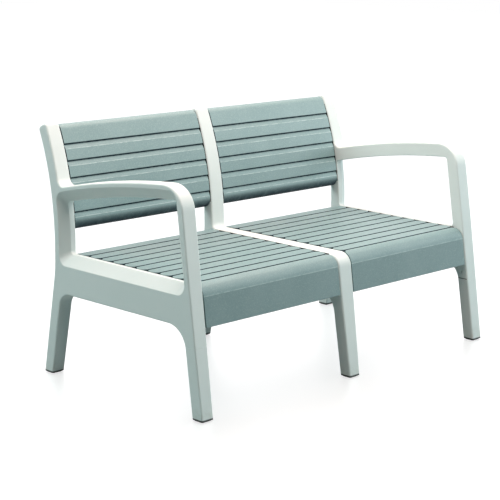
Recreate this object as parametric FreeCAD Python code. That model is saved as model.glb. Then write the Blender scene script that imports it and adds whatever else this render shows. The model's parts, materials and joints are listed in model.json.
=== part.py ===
import FreeCAD, Part
import math
import os

V = FreeCAD.Vector

# Overall size of the bench
WIDTH = 1270.0
DEPTH = 696.0
HEIGHT = 738.0

# Side view of the frames
SEAT_HEIGHT = 365.0
RAIL_BOTTOM = 252.0
LEG_RAKE = 9.0
FRONT_LEG_DEPTH = 39.5
REAR_LEG_DEPTH = 38.0
UPRIGHT_DEPTH = 37.0
UPRIGHT_RADIUS = 900.0
UPRIGHT_BASE = 362.0
WAIST_HEIGHT = 316.0
WAIST_RADIUS = 300.0
TOP_FRONT_RADIUS = 10.0
TOP_REAR_RADIUS = 12.0
FRONT_HAUNCH_RADIUS = 70.0
REAR_HAUNCH_RADIUS = 45.0
STRIP_REAR_RADIUS = 18.0
FRONT_ROLL_RADIUS = 40.0

# Arms
ARM_FRONT_HEIGHT = 632.0
ARM_REAR_HEIGHT = 561.0
ARM_CROWN_RADIUS = 2470.0
ARM_THICKNESS = 44.0
ARM_CORNER_RADIUS = 75.0
ARM_ROOT_RADIUS = 25.0

# Funnel-shaped opening under each arm
FUNNEL_DEPTH = 33.0
FUNNEL_LIP_TOP = 8.0
FUNNEL_STRIP_FRONT = 17.0
FUNNEL_STRIP_REAR = 20.0
FUNNEL_DROP = 29.0
FUNNEL_OUTER_RADIUS = 30.0
FUNNEL_INNER_RADIUS = 11.0

# Thickness of the frames from side to side
SIDE_FOOT_THICKNESS = 44.0
SIDE_TOP_REACH = 57.5
SIDE_LEAN = 9.0
SIDE_LEAN_START = 400.0
CENTRE_FOOT_THICKNESS = 44.0
CENTRE_RAIL_THICKNESS = 58.0
CENTRE_TOP_THICKNESS = 53.0
CENTRE_SWELL_HEIGHT = 300.0
BEND_EASE = 120.0
EDGE_RADIUS = 5.0
RIM_RADIUS = 2.5

# Lower front legs that plug into the side frames
SEAM_HEIGHT = 200.0
SEAM_CHAMFER = 1.0
PLUG_LENGTH = 42.0
PLUG_WIDTH = 22.0
PLUG_DEPTH = 20.0
FIT_CLEARANCE = 0.3

# Glides under the feet
GLIDE_HEIGHT = 3.0
GLIDE_INSET = 4.0
GLIDE_CORNER_RADIUS = 5.0
GLIDE_EDGE_RADIUS = 1.0
GLIDE_PEG_RADIUS = 5.0
GLIDE_PEG_LENGTH = 16.0

# Seats
SEAT_SLATS = 10
SEAT_SKIN = 8.0
SEAT_GAP = 2.5
SEAT_GROOVE_TOP = 5.0
SEAT_GROOVE_BOTTOM = 3.5
SEAT_GROOVE_DEPTH = 5.5
SEAT_REAR_RADIUS = 5.0
SEAT_REAR_SKIRT = 42.0
SEAT_WALL = 4.0
SEAT_END_DEPTH = 30.0
SEAT_END_RETURN = 32.0
APRON_BOTTOM = 248.0
APRON_RECESS = 1.5
SEAT_RIB = 3.0
SEAT_RIB_DEPTH = 24.0
SEAT_CROSS_RIBS = 4
SEAT_LONG_RIB_STEP = 2
SEAT_BOSS_RADIUS = 6.5
SEAT_BOSS_OFFSET = 8.5

# Ledges that carry the seats
LEDGE_WIDTH = 22.0
LEDGE_THICKNESS = 6.0
LEDGE_ROOT = 8.0
LEDGE_FRONT_SETBACK = 62.0
LEDGE_REAR_SETBACK = 20.0
GUSSET_COUNT = 4
GUSSET_HEIGHT = 26.0
GUSSET_THICKNESS = 4.0
GUSSET_REACH = 18.0

# Backs
BACK_SLATS = 6
BACK_PITCH = 50.0
BACK_TOP_DROP = 2.0
BACK_TOP_BAND = 66.0
BACK_BOTTOM_BAND = 47.0
BACK_RECESS = 1.5
BACK_SKIN = 7.5
BACK_GAP = 2.5
BACK_DEPTH = 33.0
BACK_CHAMFER = 12.0
BACK_GROOVE = 3.5
BACK_GROOVE_DEPTH = 4.5
BACK_TOP_CHAMFER = 13.0
BACK_BOTTOM_ROLL = 28.0
BACK_WALL = 4.0
BACK_RIB = 3.0
BACK_RIB_DEPTH = 12.0
BACK_CROSS_RIBS = 4

# Tenons that hold the backs in the uprights
TENON_REACH = 26.0
TENON_DEPTH = 16.0
TENON_HEIGHT = 34.0
TENON_SETBACK = 15.0
TENON_ROOT = 12.0
TENON_GROOVES = (0, 3)

# Screws
SCREW_RADIUS = 2.2
SCREW_HEAD_RADIUS = 4.8
SCREW_HEAD_HEIGHT = 3.2
SCREW_CLEARANCE = 0.4
SCREW_SINK = 4.5
SCREW_LENGTH = 20.0
SEAT_SCREW_INSET = 70.0

# Spare length on cutting bodies
OVERRUN = 40.0

# Limits for finding edges and faces
NEAR = 0.05
SIDEWAYS = 0.9

# Values worked out from the sizes above
RAKE = math.tan(math.radians(LEG_RAKE))
TOE_Y = -DEPTH / 2
SIDE_X = -WIDTH / 2
UPRIGHT_REAR_RADIUS = UPRIGHT_RADIUS - UPRIGHT_DEPTH
TOP_FRONT_SWING = UPRIGHT_RADIUS - TOP_FRONT_RADIUS
TOP_REAR_SWING = UPRIGHT_REAR_RADIUS + TOP_REAR_RADIUS
TOP_ANGLE = (math.asin((HEIGHT - TOP_FRONT_RADIUS - UPRIGHT_BASE) / TOP_FRONT_SWING)
             + math.asin(TOP_FRONT_RADIUS / TOP_FRONT_SWING))
REAR_ROUND_ANGLE = TOP_ANGLE - math.asin(TOP_REAR_RADIUS / TOP_REAR_SWING)
CURVE = (DEPTH / 2 - TOP_REAR_RADIUS + TOP_REAR_SWING * math.cos(REAR_ROUND_ANGLE), UPRIGHT_BASE)
BACK_LINE = CURVE[0] - UPRIGHT_RADIUS
WAIST = (BACK_LINE + UPRIGHT_DEPTH, WAIST_HEIGHT)
LEDGE_TOP = SEAT_HEIGHT - SEAT_END_DEPTH
BACK_RADIUS = UPRIGHT_RADIUS - BACK_RECESS


def polar(radius, angle):
    """Point at a radius and angle on the sweep of the backs."""
    return (CURVE[0] - radius * math.cos(angle), CURVE[1] + radius * math.sin(angle))


def leg_front(z):
    """Front line of the front legs at a height."""
    return TOE_Y + RAKE * z


def leg_rear(z):
    """Rear line of the front legs at a height."""
    return leg_front(z) + FRONT_LEG_DEPTH


def heel_rear(z):
    """Rear line of the rear legs at a height."""
    return WAIST[0] + RAKE * (WAIST_HEIGHT - z)


def heel_front(z):
    """Front line of the rear legs at a height."""
    return heel_rear(z) - REAR_LEG_DEPTH


def side_inner(z):
    """Inner face of the left side frame at a height."""
    return SIDE_X + SIDE_FOOT_THICKNESS + (SIDE_TOP_REACH - SIDE_FOOT_THICKNESS) * z / HEIGHT


def centre_face(z):
    """Left face of the centre frame at a height."""
    swell = (CENTRE_RAIL_THICKNESS - CENTRE_FOOT_THICKNESS) / CENTRE_SWELL_HEIGHT
    taper = (CENTRE_TOP_THICKNESS - CENTRE_RAIL_THICKNESS) / (HEIGHT - CENTRE_SWELL_HEIGHT)
    if z < CENTRE_SWELL_HEIGHT:
        return -(CENTRE_FOOT_THICKNESS + swell * z) / 2
    return -(CENTRE_RAIL_THICKNESS + taper * (z - CENTRE_SWELL_HEIGHT)) / 2


def circle_centre(p, q, radius):
    """Centre, below the chord, of the circle through two points."""
    half = math.dist(p, q) / 2
    drop = math.sqrt(radius ** 2 - half ** 2)
    along = ((q[0] - p[0]) / (2 * half), (q[1] - p[1]) / (2 * half))
    side = -1 if along[0] > 0 else 1
    normal = (-along[1] * side, along[0] * side)
    return ((p[0] + q[0]) / 2 + normal[0] * drop, (p[1] + q[1]) / 2 + normal[1] * drop)


def circles_meet(c1, r1, c2, r2):
    """Upper point where two circles cross."""
    span = math.dist(c1, c2)
    a = (r1 ** 2 - r2 ** 2 + span ** 2) / (2 * span)
    h = math.sqrt(r1 ** 2 - a ** 2)
    ux, uz = (c2[0] - c1[0]) / span, (c2[1] - c1[1]) / span
    base = (c1[0] + a * ux, c1[1] + a * uz)
    points = [(base[0] - h * uz, base[1] + h * ux), (base[0] + h * uz, base[1] - h * ux)]
    return max(points, key=lambda point: point[1])


def raked_line_meets(start, centre, radius):
    """Upper point where a line with the front legs' rake crosses a circle."""
    run = (RAKE / math.hypot(RAKE, 1), 1 / math.hypot(RAKE, 1))
    to = (start - centre[0], -centre[1])
    b = to[0] * run[0] + to[1] * run[1]
    c = to[0] ** 2 + to[1] ** 2 - radius ** 2
    step = -b + math.sqrt(b ** 2 - c)
    return (start + step * run[0], step * run[1])


def line(p, q):
    """Straight edge of a side-view outline."""
    return Part.LineSegment(V(0, p[0], p[1]), V(0, q[0], q[1])).toShape()


def arc(centre, p, q):
    """Round edge of a side-view outline about a centre."""
    radius = math.dist(centre, p)
    chord = ((p[0] + q[0]) / 2 - centre[0], (p[1] + q[1]) / 2 - centre[1])
    size = math.hypot(chord[0], chord[1])
    mid = (centre[0] + chord[0] * radius / size, centre[1] + chord[1] * radius / size)
    return Part.Arc(V(0, p[0], p[1]), V(0, mid[0], mid[1]), V(0, q[0], q[1])).toShape()


def slab(edges, x0, x1):
    """Side-view outline stretched across the bench from x0 to x1."""
    face = Part.Face(Part.Wire(edges))
    face.translate(V(x0, 0, 0))
    return face.extrude(V(x1 - x0, 0, 0))


def polygon_slab(points, x0, x1):
    """Side-view polygon stretched across the bench."""
    edges = [line(points[i - 1], points[i]) for i in range(len(points))]
    return slab(edges, x0, x1)


def cross_edges(shape, point):
    """Edges that run straight across the bench through a side-view point."""
    found = []
    for edge in shape.Edges:
        ends = [vertex.Point for vertex in edge.Vertexes]
        spots = [math.dist(point, (end.y, end.z)) < NEAR for end in ends]
        if len(ends) == 2 and all(spots) and abs(ends[0].x - ends[1].x) > NEAR:
            found.append(edge)
    return found


def round_corners(shape, corners):
    """Rounds the corners of a slab, each given as a point and a radius."""
    for point, radius in corners:
        shape = shape.makeFillet(radius, cross_edges(shape, point))
    return shape


def edges_on(shape, test):
    """Edges whose sampled points all pass a test."""
    found = []
    for edge in shape.Edges:
        first, last = edge.ParameterRange
        spots = [edge.valueAt(first + (last - first) * i / 4) for i in range(5)]
        if all(test(spot) for spot in spots):
            found.append(edge)
    return found


def mirrored(shape):
    """Same piece for the right half of the bench."""
    return shape.mirror(V(0, 0, 0), V(1, 0, 0))


ARM_REAR = (CURVE[0] - math.sqrt(UPRIGHT_RADIUS ** 2 - (ARM_REAR_HEIGHT - CURVE[1]) ** 2), ARM_REAR_HEIGHT)
ARM_FRONT = (leg_front(ARM_FRONT_HEIGHT), ARM_FRONT_HEIGHT)
ARM_CENTRE = circle_centre(ARM_REAR, ARM_FRONT, ARM_CROWN_RADIUS)
STRIP_REAR = polar(UPRIGHT_RADIUS, math.asin((SEAT_HEIGHT - UPRIGHT_BASE) / UPRIGHT_RADIUS))
STRIP_FRONT = (leg_front(SEAT_HEIGHT), SEAT_HEIGHT)


def leg_opening_corners():
    """Points of a frame's underside from the front foot to the rear foot."""
    return [(leg_rear(GLIDE_HEIGHT), GLIDE_HEIGHT), (leg_rear(RAIL_BOTTOM), RAIL_BOTTOM),
            (heel_front(RAIL_BOTTOM), RAIL_BOTTOM), (heel_front(GLIDE_HEIGHT), GLIDE_HEIGHT)]


def upright_edges():
    """Edges of a frame's rear line, from the rear foot over the top to the front of the upright."""
    heel = (heel_rear(GLIDE_HEIGHT), GLIDE_HEIGHT)
    base = (WAIST[0], UPRIGHT_BASE)
    top_rear = polar(UPRIGHT_REAR_RADIUS, TOP_ANGLE)
    top_front = polar(UPRIGHT_RADIUS, TOP_ANGLE)
    return heel, top_front, [line(heel, WAIST), line(WAIST, base), arc(CURVE, base, top_rear),
                             line(top_rear, top_front)]


def frame_slab(front_edges, x0, x1, corners):
    """Frame outline with its corners rounded, as a slab from x0 to x1."""
    heel, top_front, edges = upright_edges()
    under = leg_opening_corners()
    toe = (leg_front(GLIDE_HEIGHT), GLIDE_HEIGHT)
    edges = edges + front_edges(top_front, toe) + [line(toe, under[0])]
    edges = edges + [line(under[i], under[i + 1]) for i in range(3)] + [line(under[3], heel)]
    rounded = [(under[1], FRONT_HAUNCH_RADIUS), (under[2], REAR_HAUNCH_RADIUS), (WAIST, WAIST_RADIUS),
               (polar(UPRIGHT_REAR_RADIUS, TOP_ANGLE), TOP_REAR_RADIUS), (top_front, TOP_FRONT_RADIUS)]
    return round_corners(slab(edges, x0, x1), rounded + corners)


def side_front(top_front, toe):
    """Front edges of a side frame: upright, arm and front leg."""
    return [arc(CURVE, top_front, ARM_REAR), arc(ARM_CENTRE, ARM_REAR, ARM_FRONT), line(ARM_FRONT, toe)]


def centre_front(top_front, toe):
    """Front edges of the centre frame: upright, strip between the seats and front leg."""
    return [arc(CURVE, top_front, STRIP_REAR), line(STRIP_REAR, STRIP_FRONT), line(STRIP_FRONT, toe)]


def outer_face(z):
    """Outer face of the left side frame at a height, before its bend is eased."""
    if z < SIDE_LEAN_START:
        return SIDE_X
    return SIDE_X + SIDE_LEAN * (z - SIDE_LEAN_START) / (HEIGHT - SIDE_LEAN_START)


def towards(start, goal, distance):
    """Point at a distance from a start towards a goal."""
    share = distance / math.dist(start, goal)
    return tuple(a + (b - a) * share for a, b in zip(start, goal))


def eased_bend(low, bend, high):
    """Front-view edges of a face that bends slightly at one height, eased to a long arc."""
    start = towards(bend, low, BEND_EASE)
    end = towards(bend, high, BEND_EASE)
    middle = tuple((2 * b + s + e) / 4 for b, s, e in zip(bend, start, end))
    spots = [V(x, -DEPTH, z) for x, z in (low, start, middle, end, high)]
    return [Part.LineSegment(spots[0], spots[1]).toShape(), Part.Arc(*spots[1:4]).toShape(),
            Part.LineSegment(spots[3], spots[4]).toShape()]


def envelope(left_edges, right_edges):
    """Front view that a frame is trimmed to, stretched past the bench from front to rear."""
    ends = [[edges[i].Vertexes[i].Point for i in (0, -1)] for edges in (left_edges, right_edges)]
    caps = [Part.LineSegment(ends[0][i], ends[1][i]).toShape() for i in (0, 1)]
    wire = Part.Wire(Part.__sortEdges__(left_edges + right_edges + caps))
    return Part.Face(wire).extrude(V(0, 2 * DEPTH, 0))


def side_envelope():
    """Trim of a side frame: upright outside, leaning in above the seat, with a leaning inner face."""
    low = -OVERRUN
    high = HEIGHT + OVERRUN
    outer = eased_bend((SIDE_X, low), (SIDE_X, SIDE_LEAN_START), (outer_face(high), high))
    inner = Part.LineSegment(V(side_inner(low), -DEPTH, low), V(side_inner(high), -DEPTH, high)).toShape()
    return envelope(outer, [inner])


def centre_envelope():
    """Trim of the centre frame: narrow feet, widest at the rail."""
    left = [(centre_face(z), z) for z in (-OVERRUN, CENTRE_SWELL_HEIGHT, HEIGHT + OVERRUN)]
    right = [(-x, z) for x, z in left]
    return envelope(eased_bend(*left), eased_bend(*right))


def on_side_rim(body, edge):
    """Tells whether an edge lies between a side of a frame and a face that runs across it."""
    faces = body.ancestorsOfType(edge, Part.Face)
    turns = [face.normalAt(*face.Surface.parameter(face.CenterOfMass)).x for face in faces]
    across = [abs(turn) > SIDEWAYS for turn in turns]
    return any(across) and not all(across)


def soften(body):
    """Rounds the long side edges of a frame and leaves the feet and the cross edges."""
    sides = []
    for edge in body.Edges:
        if on_side_rim(body, edge) and edge.BoundBox.ZMax > GLIDE_HEIGHT + NEAR:
            sides.append(edge)
    return body.makeFillet(EDGE_RADIUS, sides)


def opening_edges(rear_radius, top_radius, front_y, bottom):
    """Outline of an arm opening and its four corners."""
    top_rear = circles_meet(CURVE, rear_radius, ARM_CENTRE, top_radius)
    top_front = raked_line_meets(front_y, ARM_CENTRE, top_radius)
    low_front = (front_y + RAKE * bottom, bottom)
    low_rear = (CURVE[0] - math.sqrt(rear_radius ** 2 - (bottom - CURVE[1]) ** 2), bottom)
    corners = [top_rear, top_front, low_front, low_rear]
    edges = [arc(ARM_CENTRE, top_rear, top_front), line(top_front, low_front), line(low_front, low_rear),
             arc(CURVE, low_rear, top_rear)]
    return edges, corners


def rounded_opening(outline, radius, x0, x1):
    """Arm opening as a slab with its corners rounded."""
    edges, corners = outline
    return round_corners(slab(edges, x0, x1), [(corner, radius) for corner in corners])


def end_wire(body, x):
    """Outline of the face of a slab that lies at x."""
    faces = [face for face in body.Faces if abs(face.CenterOfMass.x - x) < NEAR]
    return faces[0].OuterWire


def arm_funnel():
    """Body that cuts a left arm opening: straight at the inner side, flaring to the outer side."""
    inner = opening_edges(UPRIGHT_RADIUS, ARM_CROWN_RADIUS - ARM_THICKNESS, TOE_Y + FRONT_LEG_DEPTH,
                          SEAT_HEIGHT)
    outer = opening_edges(UPRIGHT_REAR_RADIUS + FUNNEL_STRIP_REAR, ARM_CROWN_RADIUS - FUNNEL_LIP_TOP,
                          TOE_Y + FUNNEL_STRIP_FRONT, SEAT_HEIGHT - FUNNEL_DROP)
    throat = SIDE_X + FUNNEL_DEPTH
    land = rounded_opening(inner, FUNNEL_INNER_RADIUS, throat, throat + SIDE_TOP_REACH)
    mouth = rounded_opening(outer, FUNNEL_OUTER_RADIUS, SIDE_X, SIDE_X - OVERRUN)
    flare = Part.makeLoft([end_wire(mouth, SIDE_X), end_wire(land, throat)], True, True)
    return land, flare, mouth


def rim_edges(body, cutters):
    """Edges where the arm opening breaks through the two sides of a frame."""
    found = edges_on(body, lambda p: any(cutter.isInside(p, NEAR, True) for cutter in cutters))
    return [edge for edge in found if on_side_rim(body, edge)]


def turned_box(x, reach, depth, height, spot, angle):
    """Block from x sideways, with its middle at a side-view spot, turned with the sweep of the backs."""
    block = Part.makeBox(abs(reach), depth, height, V(min(x, x + reach), -depth / 2, -height / 2))
    block.rotate(V(0, 0, 0), V(1, 0, 0), -math.degrees(angle))
    block.translate(V(0, spot[0], spot[1]))
    return block


def pointed(shape, spot, direction):
    """Shape made along +Z, turned to a direction and moved to a spot."""
    shape.Placement = FreeCAD.Placement(spot, FreeCAD.Rotation(V(0, 0, 1), direction))
    return shape


def screw(spot, direction):
    """Pan-head screw whose head seats at a spot and whose shank follows a direction."""
    head = Part.makeCylinder(SCREW_HEAD_RADIUS, SCREW_HEAD_HEIGHT, V(0, 0, -SCREW_HEAD_HEIGHT))
    shank = Part.makeCylinder(SCREW_RADIUS, SCREW_LENGTH)
    return pointed(head.fuse(shank).removeSplitter(), spot, direction)


def screw_hole(spot, direction):
    """Hole for a screw, with a sunk seat for its head."""
    seat = Part.makeCylinder(SCREW_HEAD_RADIUS + SCREW_CLEARANCE, SCREW_SINK * 2, V(0, 0, -SCREW_SINK * 2))
    shank = Part.makeCylinder(SCREW_RADIUS + SCREW_CLEARANCE, SCREW_LENGTH + SCREW_CLEARANCE)
    return pointed(seat.fuse(shank), spot, direction)


def front_prism(points):
    """Front-view polygon stretched past the bench from front to rear."""
    corners = [V(x, -DEPTH, z) for x, z in points]
    return Part.Face(Part.makePolygon(corners + corners[:1])).extrude(V(0, 2 * DEPTH, 0))


def between(left, right):
    """Space between two leaning faces, each given as a function of height."""
    low = SEAT_HEIGHT
    high = HEIGHT + OVERRUN
    return front_prism([(left(low), low), (left(high), high), (right(high), high), (right(low), low)])


def plug(clearance):
    """Plug of a left lower front leg, grown by a clearance."""
    low = SEAM_HEIGHT - PLUG_DEPTH
    high = SEAM_HEIGHT + PLUG_LENGTH + clearance
    half = PLUG_DEPTH / 2 + clearance
    mid_low, mid_high = [leg_front(z) + FRONT_LEG_DEPTH / 2 for z in (low, high)]
    middle = (SIDE_X + side_inner(SEAM_HEIGHT)) / 2
    reach = PLUG_WIDTH / 2 + clearance
    return polygon_slab([(mid_low - half, low), (mid_low + half, low), (mid_high + half, high),
                         (mid_high - half, high)], middle - reach, middle + reach)


def leg_screw_seat():
    """Seat of the screw that holds a left lower front leg, and the way it points."""
    z = SEAM_HEIGHT + PLUG_LENGTH / 2
    return V(side_inner(z) - SCREW_SINK, leg_front(z) + FRONT_LEG_DEPTH / 2, z), V(-1, 0, 0)


def foot_spots():
    """Middle of each foot and the foot's width, by name."""
    front = leg_front(GLIDE_HEIGHT) + FRONT_LEG_DEPTH / 2
    rear = heel_rear(GLIDE_HEIGHT) - REAR_LEG_DEPTH / 2
    side = (SIDE_X + side_inner(GLIDE_HEIGHT)) / 2
    return {"left_front": (side, front, FRONT_LEG_DEPTH), "left_rear": (side, rear, REAR_LEG_DEPTH),
            "centre_front": (0.0, front, FRONT_LEG_DEPTH), "centre_rear": (0.0, rear, REAR_LEG_DEPTH)}


def glide(spot):
    """Foot glide: a rounded pad with a peg that goes up into the foot."""
    x, y, depth = spot
    wide = SIDE_FOOT_THICKNESS - 2 * GLIDE_INSET
    deep = depth - 2 * GLIDE_INSET
    pad = Part.makeBox(wide, deep, GLIDE_HEIGHT, V(x - wide / 2, y - deep / 2, 0))
    pad = pad.makeFillet(GLIDE_CORNER_RADIUS, edges_on(pad, lambda p: abs(abs(p.x - x) - wide / 2) < NEAR
                                                       and abs(abs(p.y - y) - deep / 2) < NEAR))
    pad = pad.makeFillet(GLIDE_EDGE_RADIUS, edges_on(pad, lambda p: p.z < NEAR))
    return pad.fuse(peg(spot, 0)).removeSplitter()


def peg(spot, clearance):
    """Peg of a foot glide, grown by a clearance."""
    return Part.makeCylinder(GLIDE_PEG_RADIUS + clearance, GLIDE_PEG_LENGTH + clearance,
                             V(spot[0], spot[1], GLIDE_HEIGHT))


LEDGE_FRONT = leg_front(LEDGE_TOP) + LEDGE_FRONT_SETBACK
LEDGE_REAR = BACK_LINE - LEDGE_REAR_SETBACK


def ledge(face_x, inward):
    """Ledge on a frame's face with gussets under it; inward is +1 or -1 along X."""
    bottom = LEDGE_TOP - LEDGE_THICKNESS
    x0, x1 = sorted((face_x - inward * LEDGE_ROOT, face_x + inward * LEDGE_WIDTH))
    body = Part.makeBox(x1 - x0, LEDGE_REAR - LEDGE_FRONT, LEDGE_THICKNESS, V(x0, LEDGE_FRONT, bottom))
    step = (LEDGE_REAR - LEDGE_FRONT) / GUSSET_COUNT
    for i in range(GUSSET_COUNT):
        y = LEDGE_FRONT + (i + 0.5) * step - GUSSET_THICKNESS / 2
        root = face_x - inward * LEDGE_ROOT
        corners = [V(root, y, bottom), V(face_x + inward * GUSSET_REACH, y, bottom),
                   V(face_x, y, bottom - GUSSET_HEIGHT), V(root, y, bottom - GUSSET_HEIGHT)]
        gusset = Part.Face(Part.makePolygon(corners + corners[:1])).extrude(V(0, GUSSET_THICKNESS, 0))
        body = body.fuse(gusset)
    return body


SEAT_LEFT = side_inner(SEAT_HEIGHT) + SEAT_GAP
SEAT_RIGHT = centre_face(SEAT_HEIGHT) - SEAT_GAP


def seat_screw_spots():
    """Seats of the screws of the left seat, under the ledges."""
    bottom = LEDGE_TOP - LEDGE_THICKNESS
    return [V(x, y, bottom) for x in (SEAT_LEFT + SEAT_BOSS_OFFSET, SEAT_RIGHT - SEAT_BOSS_OFFSET)
            for y in (LEDGE_FRONT + SEAT_SCREW_INSET, LEDGE_REAR - SEAT_SCREW_INSET)]


def apron_line(z):
    """Front line of the apron at a height."""
    return leg_front(z) + APRON_RECESS


def seat_roll():
    """Centre of the seat's front roll and the height where it runs into the apron."""
    lean = math.radians(LEG_RAKE)
    height = SEAT_HEIGHT - FRONT_ROLL_RADIUS
    touch = height + FRONT_ROLL_RADIUS * math.sin(lean)
    return (apron_line(touch) + FRONT_ROLL_RADIUS * math.cos(lean), height), touch


def seat_front_edges():
    """Edges of the seat's top, roll and apron, from rear to lower front."""
    centre, touch = seat_roll()
    top = [(BACK_LINE, SEAT_HEIGHT), (centre[0], SEAT_HEIGHT)]
    apron = [(apron_line(touch), touch), (apron_line(APRON_BOTTOM), APRON_BOTTOM)]
    return [line(*top), arc(centre, top[1], apron[0]), line(*apron)]


def seat_skin():
    """Skin of the left seat: slab, roll and apron of one thickness."""
    centre = seat_roll()[0]
    lean = math.radians(LEG_RAKE)
    inner = FRONT_ROLL_RADIUS - SEAT_SKIN
    turn = (centre[0] - inner * math.cos(lean), centre[1] + inner * math.sin(lean))
    foot = (turn[0] - RAKE * (turn[1] - APRON_BOTTOM), APRON_BOTTOM)
    under = SEAT_HEIGHT - SEAT_SKIN
    edges = seat_front_edges() + [line((apron_line(APRON_BOTTOM), APRON_BOTTOM), foot), line(foot, turn),
                                  arc(centre, turn, (centre[0], under)),
                                  line((centre[0], under), (BACK_LINE, under)),
                                  line((BACK_LINE, under), (BACK_LINE, SEAT_HEIGHT))]
    return slab(edges, SEAT_LEFT, SEAT_RIGHT)


def seat_web(depth, x, thickness):
    """Upright web across the left seat: an end wall or a rib."""
    low = SEAT_HEIGHT - depth
    toe = (apron_line(APRON_BOTTOM), APRON_BOTTOM)
    points = [toe, (toe[0] + SEAT_END_RETURN, APRON_BOTTOM), (apron_line(low) + SEAT_END_RETURN, low),
              (BACK_LINE, low), (BACK_LINE, SEAT_HEIGHT)]
    edges = seat_front_edges() + [line(points[i], points[i + 1]) for i in range(4)]
    return slab(edges, x, x + thickness)


def seat():
    """Left seat: slatted skin with walls, ribs and screw bosses under it."""
    length = SEAT_RIGHT - SEAT_LEFT
    pitch = (BACK_LINE - seat_roll()[0][0]) / SEAT_SLATS
    grooves = [BACK_LINE - pitch * (i + 1) for i in range(SEAT_SLATS)]
    pieces = [Part.makeBox(length, SEAT_WALL, SEAT_REAR_SKIRT,
                           V(SEAT_LEFT, BACK_LINE - SEAT_WALL, SEAT_HEIGHT - SEAT_REAR_SKIRT))]
    pieces += [seat_web(SEAT_END_DEPTH, x, SEAT_WALL) for x in (SEAT_LEFT, SEAT_RIGHT - SEAT_WALL)]
    step = length / (SEAT_CROSS_RIBS + 1)
    pieces += [seat_web(SEAT_RIB_DEPTH, SEAT_LEFT + step * (i + 1) - SEAT_RIB / 2, SEAT_RIB)
               for i in range(SEAT_CROSS_RIBS)]
    pieces += [Part.makeBox(length, SEAT_RIB, SEAT_RIB_DEPTH - SEAT_GROOVE_DEPTH,
                            V(SEAT_LEFT, y - SEAT_RIB / 2, SEAT_HEIGHT - SEAT_RIB_DEPTH))
               for y in grooves[SEAT_LONG_RIB_STEP - 1::SEAT_LONG_RIB_STEP]]
    pieces += [Part.makeCylinder(SEAT_BOSS_RADIUS, SEAT_END_DEPTH - SEAT_GROOVE_DEPTH,
                                 V(spot.x, spot.y, LEDGE_TOP)) for spot in seat_screw_spots()]
    body = seat_skin().multiFuse(pieces).removeSplitter()
    body = round_corners(body, [((BACK_LINE, SEAT_HEIGHT), SEAT_REAR_RADIUS)])
    half_top = SEAT_GROOVE_TOP / 2
    half_low = SEAT_GROOVE_BOTTOM / 2
    floor = SEAT_HEIGHT - SEAT_GROOVE_DEPTH
    cuts = [polygon_slab([(y - half_top, SEAT_HEIGHT), (y + half_top, SEAT_HEIGHT), (y + half_low, floor),
                          (y - half_low, floor)], SEAT_LEFT, SEAT_RIGHT) for y in grooves]
    cuts += [screw_hole(spot, V(0, 0, 1)) for spot in seat_screw_spots()]
    return body.cut(cuts)


def back_angle(run):
    """Angle at a run down the front of the backs from the top of the uprights."""
    return TOP_ANGLE - run / UPRIGHT_RADIUS


GROOVE_RUNS = [BACK_TOP_DROP + BACK_TOP_BAND + BACK_PITCH * i for i in range(BACK_SLATS - 1)]
ROLL_RUN = GROOVE_RUNS[-1] + BACK_BOTTOM_BAND - BACK_BOTTOM_ROLL
ROLL_ANGLE = back_angle(ROLL_RUN)


def roll_foot(radius, depth):
    """Point under the backs' bottom roll, at a radius from its middle and a depth behind the front."""
    spot = polar(BACK_RADIUS - depth, ROLL_ANGLE)
    return (spot[0] - radius * math.sin(ROLL_ANGLE), spot[1] - radius * math.cos(ROLL_ANGLE))


def back_front_edges():
    """Edges of the front of a back, from its top rear edge over the lapped slats to its bottom rear edge."""
    def at(depth, run):
        return polar(BACK_RADIUS - depth, back_angle(run))
    edges = [line(at(BACK_DEPTH, BACK_TOP_DROP), at(BACK_TOP_CHAMFER, BACK_TOP_DROP)),
             line(at(BACK_TOP_CHAMFER, BACK_TOP_DROP), at(0, BACK_TOP_DROP + BACK_TOP_CHAMFER))]
    start = BACK_TOP_DROP + BACK_TOP_CHAMFER
    for run in GROOVE_RUNS:
        upper = run - BACK_GROOVE / 2
        lower = run + BACK_GROOVE / 2
        edges += [arc(CURVE, at(0, start), at(0, upper)), line(at(0, upper), at(BACK_GROOVE_DEPTH, upper)),
                  line(at(BACK_GROOVE_DEPTH, upper), at(BACK_GROOVE_DEPTH, lower)),
                  line(at(BACK_GROOVE_DEPTH, lower), at(0, lower + BACK_CHAMFER))]
        start = lower + BACK_CHAMFER
    foot = roll_foot(BACK_BOTTOM_ROLL, BACK_BOTTOM_ROLL)
    edges += [arc(CURVE, at(0, start), at(0, ROLL_RUN)),
              arc(at(BACK_BOTTOM_ROLL, ROLL_RUN), at(0, ROLL_RUN), foot),
              line(foot, roll_foot(BACK_BOTTOM_ROLL, BACK_DEPTH))]
    return edges


def back_web(x0, x1):
    """Whole side-view section of a back, as a wall or a rib from x0 to x1."""
    top = polar(BACK_RADIUS - BACK_DEPTH, back_angle(BACK_TOP_DROP))
    low = polar(BACK_RADIUS - BACK_DEPTH, ROLL_ANGLE)
    rear_edges = [line(roll_foot(BACK_BOTTOM_ROLL, BACK_DEPTH), low), arc(CURVE, low, top)]
    return slab(back_front_edges() + rear_edges, x0, x1)


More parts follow.
